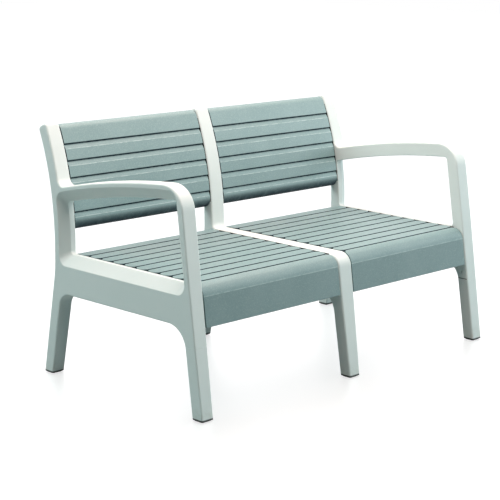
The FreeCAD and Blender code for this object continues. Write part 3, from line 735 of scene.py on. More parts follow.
@dataclass
class Back:
    """Back of six lapped slats with a ribbed rear, in millimetres."""

    side: Side
    lines: BenchLines
    stiff: Stiffening = Stiffening()
    gap: float = 2.5
    recess: float = 1.5
    drop: float = 2.0
    top_band: float = 66.0
    pitch: float = 50.0
    grooves: int = 5
    bottom_band: float = 51.0
    roll: float = 28.0
    depth: float = 33.0
    skin: float = 7.5
    top_chamfer: float = 13.0
    top_round: float = 19.0
    chamfer: float = 14.0
    chamfer_middle: float = 0.6
    ridge_round: float = 3.0
    groove: float = 3.1
    groove_depth: float = 4.5
    groove_round: float = 0.8
    shoulder: float = 1.0
    shade: float = 1.0
    blend: float = 1.0
    # Painted shade under the bottom roll, starting a lead above it.
    shade_paint: float = 0.9
    shade_paint_lead: float = 5.0
    end_edge: float = 0.9
    # Painted shade on the end faces, and along the chamfer under each lip, strongest at the groove.
    end_shade: float = 0.8
    lap_shade: tuple[float, float, float] = (0.45, 0.16, 0.1)
    # Width of the painted highlight along each chamfer's ridge.
    highlight_width: float = 1.8
    hem: float = 1.2
    inner_round: float = 3.0
    facet: float = 6.0
    rib_depth: float = 12.0
    web_clear: float = 2.0
    tenon_reach: float = 26.0
    tenon_height: float = 34.0
    tenon_depth: float = 16.0
    tenon_setback: float = 15.0
    tenon_corner: float = 1.5
    tenon_round: float = 1.0
    tenon_bands: tuple[int, int] = (0, 3)

    @property
    def groove_runs(self) -> list[float]:
        """Run down to each groove from the top of the uprights."""
        return [self.drop + self.top_band + self.pitch * index for index in range(self.grooves)]

    @property
    def roll_run(self) -> float:
        """Run at which the bottom roll begins."""
        return self.groove_runs[-1] + self.bottom_band - self.roll

    @property
    def path(self) -> Bend:
        """Line of the back's front, from the top down to the bottom roll.

        Returns:
            The path.
        """
        lines = self.lines
        last = lines.top_angle - self.roll_run / lines.sweep_radius
        return Bend(lines.sweep_centre, lines.sweep_radius - self.recess, lines.sweep_radius,
                    lines.top_angle, last, 0.0)

    def lap(self, run: float) -> list[Corner]:
        """Corners where one slat laps the next: chamfer, groove and the upper slat's lip.

        Args:
            run: Middle of the groove.

        Returns:
            The corners from below.
        """
        upper, lower = run - self.groove / 2, run + self.groove / 2
        ridge, fall = lower + self.chamfer, self.groove_depth / self.chamfer
        half_way = self.chamfer * self.chamfer_middle
        # Painted highlight on the ridge; painted shade that is full in the groove and fades along the
        # chamfer.
        near, middle, far = self.lap_shade
        return [Corner(ridge + self.highlight_width, 0, self.blend),
                Corner(ridge, 0, self.ridge_round, arris=1.0),
                Corner(ridge - self.highlight_width, -fall * self.highlight_width, self.blend, far),
                Corner(ridge - half_way, -fall * half_way, self.blend, middle),
                Corner(lower + self.shade, -fall * (self.chamfer - self.shade), self.blend, near),
                Corner(lower, -self.groove_depth, self.groove_round, cavity=1.0),
                Corner(upper, -self.groove_depth, self.groove_round, cavity=1.0),
                Corner(upper, 0, self.shoulder)]

    def skin_section(self) -> Outline:
        """Section of the skin: bottom roll, lapped slats and top edge.

        The painted shade under the roll starts a lead above it and grows with the square root of the share
        of the roll and lead that is passed.

        Returns:
            The section in Y and Z.
        """
        foot, inner = self.roll_run + self.roll, self.roll_run + self.roll - self.skin
        top, low, hem = self.drop, -self.depth, self.hem
        ease = self.top_chamfer + self.skin * (math.sqrt(2) - 1)
        corners = [Corner(foot, low, hem), Corner(foot, 0, self.roll)]
        for run in reversed(self.groove_runs):
            corners += self.lap(run)
        corners += [Corner(top + self.top_chamfer, 0, self.top_round),
                    Corner(top, -self.top_chamfer, self.top_round),
                    Corner(top, low, hem),
                    Corner(top + self.skin, low, hem),
                    Corner(top + self.skin, -ease, self.inner_round),
                    Corner(top + ease, -self.skin, self.inner_round),
                    Corner(inner, -self.skin, self.roll - self.skin),
                    Corner(inner, low, hem)]
        flat = Outline.rounded(corners, steps=9).refined(self.facet)
        # Painted shade under the bottom roll.
        lead = self.shade_paint_lead
        share = np.clip((flat.points[:, 0] - self.roll_run + lead) / (self.roll + lead), 0, 1)
        flat.marks[:, 0] = np.maximum(flat.marks[:, 0], self.shade_paint * np.sqrt(share))
        return self.path.place(flat)

    def web_section(self) -> Outline:
        """Section of a wall or rib behind the skin.

        Returns:
            The section in Y and Z.
        """
        half, clear = self.skin / 2, self.web_clear
        foot, top = self.roll_run + self.roll - half, self.drop + half
        low = self.stiff.overlap - self.depth
        ease = self.top_chamfer + half * (math.sqrt(2) - 1)
        corners = [Corner(foot, low, self.stiff.corner),
                   Corner(foot, -half - clear, self.roll - half - clear),
                   Corner(self.drop + ease, -half - clear, self.inner_round),
                   Corner(top, -ease - clear, self.inner_round),
                   Corner(top, low, self.stiff.corner)]
        return self.path.place(Outline.rounded(corners, steps=6).refined(self.facet))

    def tenon_section(self, band: int) -> Outline:
        """Section of a tenon.

        Args:
            band: Groove under which it lies, counted from the top.

        Returns:
            The section in Y and Z.
        """
        half, back = self.tenon_depth / 2, self.tenon_setback
        middle = self.groove_runs[band] + self.pitch / 2
        block = strip(middle, self.tenon_height, half - back, -half - back, self.tenon_corner)
        return self.path.place(block.refined(self.facet))

    def build(self) -> bpy.types.Object:
        """Makes the back in place of its solid.

        Returns:
            The back.
        """
        start, end = self.lines.ends(self.side, self.gap)
        piece = Moulding(self.side.label + "_lapped_back")
        piece.add(Shell.swept(self.skin_section(), start, end, self.end_edge, self.end_shade))
        web, low = self.web_section(), -self.skin - self.rib_depth
        beams = [self.path.place(self.stiff.beam(run, self.skin, low)) for run in self.groove_runs]
        self.stiff.fit(piece, (start, end), self.lines.height, web, web, beams)
        reach, root = self.tenon_reach, self.stiff.wall / 2
        for band in self.tenon_bands:
            tenon = self.tenon_section(band)
            piece.add(Shell.swept(tenon, start.moved(-reach), start.moved(root), self.tenon_round))
            piece.add(Shell.swept(tenon, end.moved(-root), end.moved(reach), self.tenon_round))
        return piece.build()


class ScrewSpot(NamedTuple):
    """Seat of a screw's head and the way its shank points."""

    place: Place
    way: Place


@dataclass
class Screws:
    """Pan-head screws with a cross recess, in millimetres and radians."""

    node: str
    spots: list[ScrewSpot]
    head: float = 4.8
    head_height: float = 3.2
    rim_angle: float = 0.12
    crown_angle: float = 0.02
    dome_points: int = 22
    dome_power: float = 0.8
    shank: float = 2.2
    length: float = 20.0
    point: float = 3.0
    tip: float = 0.05
    sides: int = 64
    recess: CrossRecess = CrossRecess()

    def profile(self) -> Outline:
        """Radius and height of a screw from its tip to the top of its domed head.

        The shank ends in a cone. The head's side is a quarter of a squarish ellipse from the rim to the
        top, with the cosine and sine of its angle raised to a power.

        Returns:
            The profile.
        """
        turn = np.linspace(self.rim_angle, math.pi / 2 - self.crown_angle, self.dome_points)
        dome = np.stack([self.head * np.cos(turn) ** self.dome_power,
                         self.head_height * np.sin(turn) ** self.dome_power], axis=1)
        lean = np.stack([np.cos(turn) / self.head, np.sin(turn) / self.head_height], axis=1)
        stem = [[self.tip, -self.length], [self.shank, self.point - self.length], [self.shank, 0.0],
                [self.head, 0.0]]
        stem_normals = [[0.6, -0.8], [1.0, 0.0], [1.0, -0.1], [0.7, -0.7]]
        points = np.concatenate([np.array(stem), dome])
        normals = np.concatenate([np.array(stem_normals), lean])
        normals /= np.linalg.norm(normals, axis=1, keepdims=True)
        return Outline(points, normals, np.zeros((len(points), 3)))

    def build(self) -> bpy.types.Object:
        """Makes the screws of one node as one piece.

        Returns:
            The screws.
        """
        piece = Moulding(self.node + "_plated")
        for spot in self.spots:
            axis = tuple(-part for part in spot.way)
            piece.add(Shell.turned(self.profile(), spot.place, axis, self.sides, self.recess))
        return piece.build()


class Wiring:
    """Adds nodes to a node tree and joins their sockets.

    Attributes:
        mix_inputs: Places of the share and the two colours among a Mix node's inputs.
        mix_output: Place of the colour among its outputs.
        tree: Tree that the nodes go into.
    """

    mix_inputs: tuple[int, int, int] = (0, 6, 7)
    mix_output: int = 2

    def __init__(self, tree: bpy.types.NodeTree) -> None:
        """Keeps the tree that the nodes go into."""
        self.tree = tree

    @classmethod
    def fresh(cls, owner: bpy.types.Material | bpy.types.World) -> "Wiring":
        """Empties the node tree of a material or of the world.

        Args:
            owner: Material or world.

        Returns:
            The wiring of its tree.
        """
        owner.use_nodes = True
        owner.node_tree.nodes.clear()
        return cls(owner.node_tree)

    def add(self, kind: str, **settings: object) -> bpy.types.Node:
        """Adds a node and sets its properties.

        Args:
            kind: Type of the node.
            settings: Properties of the node by name.

        Returns:
            The node.
        """
        node = self.tree.nodes.new(kind)
        for name, value in settings.items():
            setattr(node, name, value)
        return node

    def feed(self, target: Socket, value: object) -> None:
        """Joins a socket to another one, or sets its plain value.

        Args:
            target: Socket to feed.
            value: Socket to join it to, or its value.
        """
        if isinstance(value, bpy.types.NodeSocket):
            self.tree.links.new(value, target)
        else:
            target.default_value = value

    def make(self, kind: str, inputs: dict[object, object], output: int = 0, **settings: object) -> Socket:
        """Adds a node and feeds its inputs.

        Args:
            kind: Type of the node.
            inputs: What its inputs get, by their names or places.
            output: Place of the output that is wanted.
            settings: Properties of the node by name.

        Returns:
            That output.
        """
        node = self.add(kind, **settings)
        for name, value in inputs.items():
            self.feed(node.inputs[name], value)
        return node.outputs[output]

    def noise(self, vector: Socket, scale: object, detail: float = 3.0, rough: float = 0.5) -> Socket:
        """Value of a cloudy noise at a place."""
        inputs = {"Vector": vector, "Scale": scale, "Detail": detail, "Roughness": rough}
        return self.make("ShaderNodeTexNoise", inputs)

    def stretch(self, vector: Socket, scale: Place) -> Socket:
        """Place with each of its axes scaled."""
        return self.make("ShaderNodeMapping", {"Vector": vector, "Scale": scale})

    def axes(self, vector: Socket) -> Sequence[Socket]:
        """X, Y and Z of a place."""
        return list(self.make("ShaderNodeSeparateXYZ", {0: vector}).node.outputs)

    def span(self, value: Socket, source: Span, first: float = 0.0, last: float = 1.0) -> Socket:
        """Smooth step of a value from the low to the high end of a span, turned into first to last."""
        inputs = dict(enumerate((value, *source, first, last)))
        return self.make("ShaderNodeMapRange", inputs, interpolation_type="SMOOTHSTEP")

    def work(self, operation: str, first: object, second: object = 0.0, clamp: bool = False) -> Socket:
        """Result of one operation on two numbers, or on the first alone."""
        return self.make("ShaderNodeMath", {0: first, 1: second}, operation=operation, use_clamp=clamp)

    def product(self, *numbers: object) -> Socket:
        """Numbers multiplied together, held between nought and one."""
        return reduce(lambda first, other: self.work("MULTIPLY", first, other, True), numbers)

    def total(self, *numbers: object) -> Socket:
        """Numbers added together, held between nought and one."""
        return reduce(lambda first, other: self.work("ADD", first, other, True), numbers)

    def within(self, value: Socket, low: object, high: object) -> Socket:
        """One where a value lies between two others, and nought elsewhere."""
        return self.product(self.work("GREATER_THAN", value, low), self.work("LESS_THAN", value, high))

    def mix(self, share: object, first: object, second: object) -> Socket:
        """Colour between two colours."""
        inputs = dict(zip(self.mix_inputs, (share, first, second)))
        return self.make("ShaderNodeMix", inputs, self.mix_output, data_type="RGBA")

    def glow(self, strength: float) -> Socket:
        """White light of a strength."""
        return self.make("ShaderNodeEmission", {"Strength": strength})

    def matt(self, tint: Colour) -> Socket:
        """Surface that scatters light evenly."""
        return self.make("ShaderNodeBsdfDiffuse", {"Color": (*tint, 1.0)})

    def gloss(self, tint: float, rough: float) -> Socket:
        """Grey surface that mirrors its surroundings."""
        return self.make("ShaderNodeBsdfGlossy", {"Color": (tint, tint, tint, 1.0), "Roughness": rough})

    def join(self, *shaders: Socket) -> Socket:
        """Sum of shaders."""
        return reduce(lambda first, other: self.make("ShaderNodeAddShader", {0: first, 1: other}), shaders)

    def either(self, share: Socket, first: Socket, second: Socket) -> Socket:
        """One shader or the other, by a share."""
        return self.make("ShaderNodeMixShader", {0: share, 1: first, 2: second})

    def group(self, tree: bpy.types.NodeTree, **values: object) -> bpy.types.NodeOutputs:
        """Places a node group and feeds its inputs.

        Args:
            tree: The group.
            values: What its inputs get, by their names, where an underscore stands for a space.

        Returns:
            The group's outputs.
        """
        node = self.add("ShaderNodeGroup", node_tree=tree)
        for name, value in values.items():
            self.feed(node.inputs[name.replace("_", " ")], value)
        return node.outputs


@dataclass(frozen=True)
class FrameShadeLines:
    """Limits of the painted shade on the frames, low and high, in metres.

    Attributes:
        centre: Distance from the bench's middle, beside the centre frame.
        seat_side: Distance from the bench's middle, beside a side frame at a seat.
        back_side: Distance from the bench's middle, beside a side frame at a back.
        seat_height: Height in the gaps beside the seats.
        seat_depth: Y in the gaps beside the seats.
        seat_fade: Depth under the upper limit at which that painted shade starts and is full.
        sweep_centre: Middle of the uprights' arc in Y and Z.
        sweep_reach: Distance from that middle, in the gaps beside the backs.
        back_height: Height in the gaps beside the backs.
        seam: Height of the front legs' seam.
        seam_fade: Distance from the seam at which its painted shade starts to thin and ends.
        leg_side: Distance from the bench's middle, on the front legs.
        leg_depth: Y on the front legs.
        foot_fade: Height at which the painted shade at the feet starts to thin and ends.
        foot_share: Strength of the painted shade at the feet.
    """

    centre: Span = (0.0245, 0.032)
    seat_side: Span = (0.5825, 0.588)
    back_side: Span = (0.576, 0.588)
    seat_height: Span = (0.35, 0.3646)
    seat_depth: Span = (-0.255, 0.222)
    seat_fade: Span = (0.0, 0.0005)
    sweep_centre: Span = (1.134477, 0.362)
    sweep_reach: Span = (0.868, 0.8972)
    back_height: Span = (0.45, 0.708)
    seam: float = 0.2
    seam_fade: Span = (0.0006, 0.0018)
    leg_side: Span = (0.5, 0.605)
    leg_depth: Span = (-0.313, -0.2)
    foot_fade: Span = (0.006, 0.009)
    foot_share: float = 0.95


class Effects:
    """Node groups that several finishes share, with the spans of noise that each turns into a mask."""

    flow_stretch: Place = (220.0, 220.0, 9.0)
    cloud_span: Span = (0.3, 0.7)
    speck_span: Span = (0.48, 0.68)
    # Break-up of the painted highlight on the slats' edges, and the span of its mark.
    highlight_scale: float = 45.0
    highlight_break_span: Span = (0.38, 0.58)
    highlight_least: float = 0.25
    highlight_mark_span: Span = (0.25, 1.0)
    dust_scale: float = 60.0
    # Span of the shade mark that turns into painted shade.
    painted_shade_span: Span = (0.1, 0.9)
    patch_span: Span = (0.2, 0.6)
    patch_least: float = 0.75
    splash_span: Span = (0.35, 0.75)

    def __init__(self) -> None:
        """Builds each group once."""
        self.grain = self.mould_grain()
        self.tone = self.resin_tone()
        # Painted highlight on the slats' edges.
        self.edge_highlight = self.painted_edge_highlight()
        # Painted shade on the slats, and dust splashed up from the ground.
        self.dust = self.painted_shade_and_dust()
        # Painted shade on the frames, in the gaps beside the seats and backs, the legs' seams and at the
        # feet.
        self.gap = self.painted_frame_shade(FrameShadeLines())

    @staticmethod
    def start(name: str, inputs: dict[str, float], *outputs: str) -> tuple[Wiring, Sockets, Sockets]:
        """Makes an empty group with number sockets.

        Args:
            name: Name of the group.
            inputs: Inputs with their usual values.
            outputs: Names of the outputs.

        Returns:
            The group's wiring, its inputs as sources and its outputs as targets.
        """
        tree = bpy.data.node_groups.new(name, "ShaderNodeTree")
        for label, value in inputs.items():
            socket = tree.interface.new_socket(label, in_out="INPUT", socket_type="NodeSocketFloat")
            socket.default_value = value
        for label in outputs:
            tree.interface.new_socket(label, in_out="OUTPUT", socket_type="NodeSocketFloat")
        wiring = Wiring(tree)
        sources = wiring.add("NodeGroupInput").outputs
        targets = wiring.add("NodeGroupOutput").inputs
        given = {label: sources[label] for label in inputs}
        return wiring, given, {label: targets[label] for label in outputs}

    @staticmethod
    def place(wiring: Wiring) -> Socket:
        """Place on the object, in its own coordinates."""
        return wiring.add("ShaderNodeTexCoord").outputs["Object"]

    def mould_grain(self) -> bpy.types.NodeTree:
        """Height of a fine pebbled mould texture with faint flow lines.

        Returns:
            The group, with the output Height.
        """
        wiring, given, out = self.start("mould_grain", {"Scale": 900.0, "Flow": 0.3}, "Height")
        place = self.place(wiring)
        pebble = wiring.noise(place, given["Scale"], detail=2.0)
        lines = wiring.noise(wiring.stretch(place, self.flow_stretch), 1.0, detail=2.0)
        flow = wiring.work("MULTIPLY", lines, given["Flow"])
        wiring.feed(out["Height"], wiring.work("ADD", pebble, flow))
        return wiring.tree

    def resin_tone(self) -> bpy.types.NodeTree:
        """Slow clouds and fine specks in the colour of a moulded resin.

        Returns:
            The group, with the outputs Cloud and Speck.
        """
        inputs = {"Cloud Scale": 5.0, "Speck Scale": 700.0}
        wiring, given, out = self.start("resin_tone", inputs, "Cloud", "Speck")
        place = self.place(wiring)
        cloud = wiring.noise(place, given["Cloud Scale"], detail=4.0, rough=0.6)
        wiring.feed(out["Cloud"], wiring.span(cloud, self.cloud_span))
        speck = wiring.noise(place, given["Speck Scale"], detail=1.0)
        wiring.feed(out["Speck"], wiring.span(speck, self.speck_span))
        return wiring.tree

    def painted_edge_highlight(self) -> bpy.types.NodeTree:
        """Painted highlight on the edges of the slats, broken up along their length.

        Returns:
            The group, with the output Mask.
        """
        wiring, given, out = self.start("painted_edge_highlight", {"Edge": 0.0, "Amount": 1.0}, "Mask")
        cloud = wiring.noise(self.place(wiring), self.highlight_scale, rough=0.6)
        broken = wiring.span(cloud, self.highlight_break_span, self.highlight_least)
        edge = wiring.span(given["Edge"], self.highlight_mark_span)
        wiring.feed(out["Mask"], wiring.product(edge, broken, given["Amount"]))
        return wiring.tree

    def painted_shade_and_dust(self) -> bpy.types.NodeTree:
        """Painted shade where the slats' shade mark is high, and dust splashed up from the ground.

        Returns:
            The group, with the outputs Hollow and Splash.
        """
        inputs = {"Cavity": 0.0, "Reach": 0.09}
        wiring, given, out = self.start("painted_shade_and_dust", inputs, "Hollow", "Splash")
        place = self.place(wiring)
        cloud = wiring.noise(place, self.dust_scale, detail=4.0, rough=0.65)
        # Painted shade follows the slats' shade mark, made patchy by the noise.
        hollow = wiring.span(given["Cavity"], self.painted_shade_span)
        patchy = wiring.span(cloud, self.patch_span, self.patch_least)
        wiring.feed(out["Hollow"], wiring.product(hollow, patchy))
        height = wiring.work("DIVIDE", wiring.axes(place)[2], given["Reach"], True)
        low = wiring.work("SUBTRACT", 1.0, height, True)
        wiring.feed(out["Splash"], wiring.product(low, wiring.span(cloud, self.splash_span)))
        return wiring.tree

    def painted_frame_shade(self, lines: FrameShadeLines) -> bpy.types.NodeTree:
        """Painted shade in the gaps beside the seats and backs, in the seams of the front legs and at the
        feet.

        Beside a back it lies where the distance from the middle of the uprights' arc is between two limits.

        Args:
            lines: Limits of the painted shade.

        Returns:
            The group, with the output Mask.
        """
        inputs = {"Half": lines.centre[0], "Side": lines.seat_side[0], "Top": lines.seat_height[1],
                  "Seam": lines.seam}
        wiring, given, out = self.start("painted_frame_shade", inputs, "Mask")
        x, y, z = wiring.axes(self.place(wiring))
        across = wiring.work("ABSOLUTE", x)
        centre = wiring.within(across, given["Half"], lines.centre[1])
        beside = wiring.total(centre, wiring.within(across, given["Side"], lines.seat_side[1]))
        below = wiring.span(wiring.work("SUBTRACT", given["Top"], z), lines.seat_fade)
        above = wiring.work("GREATER_THAN", z, lines.seat_height[0])
        seat = wiring.product(beside, wiring.within(y, *lines.seat_depth), below, above)
        run = wiring.work("SUBTRACT", y, lines.sweep_centre[0])
        rise = wiring.work("SUBTRACT", z, lines.sweep_centre[1])
        run, rise = (wiring.work("MULTIPLY", length, length) for length in (run, rise))
        distance = wiring.work("SQRT", wiring.work("ADD", run, rise))
        behind = wiring.within(distance, *lines.sweep_reach)
        beside = wiring.total(centre, wiring.within(across, *lines.back_side))
        back = wiring.product(behind, beside, wiring.within(z, *lines.back_height))
        level = wiring.work("ABSOLUTE", wiring.work("SUBTRACT", z, given["Seam"]))
        line = wiring.span(level, lines.seam_fade, 1.0, 0.0)
        leg = wiring.product(wiring.within(across, *lines.leg_side), wiring.within(y, *lines.leg_depth))
        seam = wiring.product(line, leg)
        foot = wiring.span(z, lines.foot_fade, lines.foot_share, 0.0)
        wiring.feed(out["Mask"], wiring.total(seat, back, seam, foot))
        return wiring.tree


def linear(red: float, green: float, blue: float) -> tuple[float, float, float, float]:
    """Colour for a socket from its values on screen, 0 to 255, by the curve of standard screens.

    Args:
        red: Red on screen.
        green: Green on screen.
        blue: Blue on screen.

    Returns:
        Linear colour with full opacity.
    """
    screen = np.array([red, green, blue]) / 255
    values = np.where(screen > 0.04045, ((screen + 0.055) / 1.055) ** 2.4, screen / 12.92)
    return float(values[0]), float(values[1]), float(values[2]), 1.0


class Grain(NamedTuple):
    """Mould texture: fineness, share of flow lines, strength and depth of its bumps."""

    scale: float
    flow: float
    strength: float
    depth: float


class Look(NamedTuple):
    """Colour and roughness of a surface, and the specks in it."""

    colour: Socket
    rough: Socket
    speck: Socket


class Dust(NamedTuple):
    """Dust splashed up from the ground: its colour on screen, the height it reaches and its strength."""

    colour: Colour
    reach: float
    share: float

    def over(self, wiring: Wiring, effects: Effects, colour: Socket) -> Socket:
        """Colour of a surface with the dust on it."""
        splash = wiring.group(effects.dust, Reach=self.reach)["Splash"]
        return wiring.mix(wiring.product(splash, self.share), colour, linear(*self.colour))


@dataclass(frozen=True)
class Finish:
    """Surface with slow clouds between two colours and a fine grain.

    Attributes:
        name: Name of the material.
        light: Colour of the light clouds on screen.
        shade: Colour of the dark clouds on screen.
        clouds: Scale of the clouds.
        specks: Scale of the specks.
        rough: Roughness of light and dark clouds.
        grain: Texture of the surface.
        specular: Strength of its sheen.
        metal: Share of metal.
    """

    name: str
    light: Colour
    shade: Colour
    clouds: float
    specks: float
    rough: Span
    grain: Grain
    specular: float = 0.5
    metal: float = 0.0

    def weathered(self, wiring: Wiring, effects: Effects, look: Look) -> Look:
        """Look after use, which is the clean one where a finish doesn't say more."""
        return look

    def build(self, effects: Effects) -> bpy.types.Material:
        """Makes the material.

        Args:
            effects: Shared node groups.

        Returns:
            The material.
        """
        material = bpy.data.materials.new(self.name)
        wiring = Wiring.fresh(material)
        shader = wiring.add("ShaderNodeBsdfPrincipled")
        wiring.feed(wiring.add("ShaderNodeOutputMaterial").inputs["Surface"], shader.outputs["BSDF"])
        tone = wiring.group(effects.tone, Cloud_Scale=self.clouds, Speck_Scale=self.specks)
        colour = wiring.mix(tone["Cloud"], linear(*self.light), linear(*self.shade))
        rough = wiring.span(tone["Cloud"], (0.0, 1.0), *self.rough)
        look = self.weathered(wiring, effects, Look(colour, rough, tone["Speck"]))
        grain = wiring.group(effects.grain, Scale=self.grain.scale, Flow=self.grain.flow)
        bumps = {"Height": grain["Height"], "Strength": self.grain.strength, "Distance": self.grain.depth}
        values = {"Base Color": look.colour, "Roughness": look.rough, "Metallic": self.metal,
                  "Specular IOR Level": self.specular, "Normal": wiring.make("ShaderNodeBump", bumps)}
        for name, value in values.items():
            wiring.feed(shader.inputs[name], value)
        return material


@dataclass(frozen=True)
class FrameResin(Finish):
    """White satin resin of the frames and legs."""

    name: str = "white_frame_resin"
    light: Colour = (229, 235, 232)
    shade: Colour = (226, 233, 230)
    clouds: float = 6.0
    specks: float = 900.0
    rough: Span = (0.46, 0.54)
    grain: Grain = Grain(1100.0, 0.5, 0.12, 0.0004)
    specular: float = 0.3
    dust: Dust = Dust((196, 196, 186), 0.05, 0.5)
    # Colour of the painted shade in the frames' gaps, seams and feet.
    frame_shade_colour: Colour = (12, 16, 16)

    def weathered(self, wiring: Wiring, effects: Effects, look: Look) -> Look:
        """Look with dust splashed up the legs, and painted shade in the gaps, the legs' seams and at the
        feet.
        """
        # Real dust splashed up the legs; painted shade in the gaps, the legs' seams and at the feet.
        dusty, gap = self.dust.over(wiring, effects, look.colour), wiring.group(effects.gap)["Mask"]
        return look._replace(colour=wiring.mix(gap, dusty, linear(*self.frame_shade_colour)))


@dataclass(frozen=True)
class SlatResin(Finish):
    """Blue-grey satin resin of the seats and backs."""

    name: str = "blue_grey_slat_resin"
    light: Colour = (130, 154, 154)
    shade: Colour = (125, 150, 150)
    clouds: float = 7.0
    specks: float = 330.0
    rough: Span = (0.42, 0.48)
    grain: Grain = Grain(1000.0, 0.3, 0.14, 0.0004)
    speck: Colour = (148, 169, 168)
    speck_share: float = 0.6
    # Colour and strength of the painted highlight on the slats' edges.
    edge: Colour = (206, 222, 220)
    highlight_share: float = 0.55
    # Colour of the painted shade in grooves, under rolls and on end faces, and the roughness it adds.
    hollow: Colour = (5, 30, 43)
    painted_shade_rough: float = 0.45

    def weathered(self, wiring: Wiring, effects: Effects, look: Look) -> Look:
        """Look with specks, painted highlights on the edges, and dull painted shade in grooves and under
        rolls.

        Args:
            wiring: Wiring of the material.
            effects: Shared node groups.
            look: Clean look.

        Returns:
            The look after use.
        """
        cavity, arris = (wiring.add("ShaderNodeAttribute", attribute_name=mark.value).outputs["Fac"]
                         for mark in (Mark.CAVITY, Mark.ARRIS))
        # Painted highlight on the slats' edges.
        highlit = wiring.group(effects.edge_highlight, Edge=arris, Amount=self.highlight_share)["Mask"]
        # Painted shade in the grooves, on the apron, under the rolls, down the laps and on the end faces.
        hollow = wiring.group(effects.dust, Cavity=cavity)["Hollow"]
        speck = wiring.product(look.speck, self.speck_share)
        colour = wiring.mix(speck, look.colour, linear(*self.speck))
        colour = wiring.mix(highlit, colour, linear(*self.edge))
        colour = wiring.mix(hollow, colour, linear(*self.hollow))
        rough = wiring.total(look.rough, wiring.product(hollow, self.painted_shade_rough))
        return look._replace(colour=colour, rough=rough)


@dataclass(frozen=True)
class GlideRubber(Finish):
    """Dark rubber of the foot glides."""

    name: str = "dark_glide_rubber"
    light: Colour = (26, 28, 29)
    shade: Colour = (13, 14, 15)
    clouds: float = 90.0
    specks: float = 1500.0
    rough: Span = (0.65, 0.85)
    grain: Grain = Grain(1600.0, 0.0, 0.3, 0.0004)
    dust: Dust = Dust((70, 70, 66), 0.0015, 0.4)

    def weathered(self, wiring: Wiring, effects: Effects, look: Look) -> Look:
        """Look with dust from the ground."""
        return look._replace(colour=self.dust.over(wiring, effects, look.colour))


@dataclass(frozen=True)
class PlatedSteel(Finish):
    """Bright plating of the screws."""

    name: str = "plated_screw_steel"
    light: Colour = (198, 200, 202)
    shade: Colour = (160, 164, 168)
    clouds: float = 240.0
    specks: float = 2200.0
    rough: Span = (0.26, 0.42)
    grain: Grain = Grain(2600.0, 0.4, 0.1, 0.0002)
    metal: float = 1.0
    dull: Colour = (104, 100, 94)

    def weathered(self, wiring: Wiring, effects: Effects, look: Look) -> Look:
        """Look with dull specks."""
        return look._replace(colour=wiring.mix(look.speck, look.colour, linear(*self.dull)))


class Lamp(NamedTuple):
    """Round soft lamp.

    Attributes:
        name: Name of the lamp.
        way: Way from the bench to the lamp.
        level: Brightness of a white surface that faces it.
        distance: Distance from the bench.
        width: Width of the lamp.
        colour: Colour of its light.
    """

    name: str
    way: Place
    level: float
    distance: float
    width: float
    colour: Colour


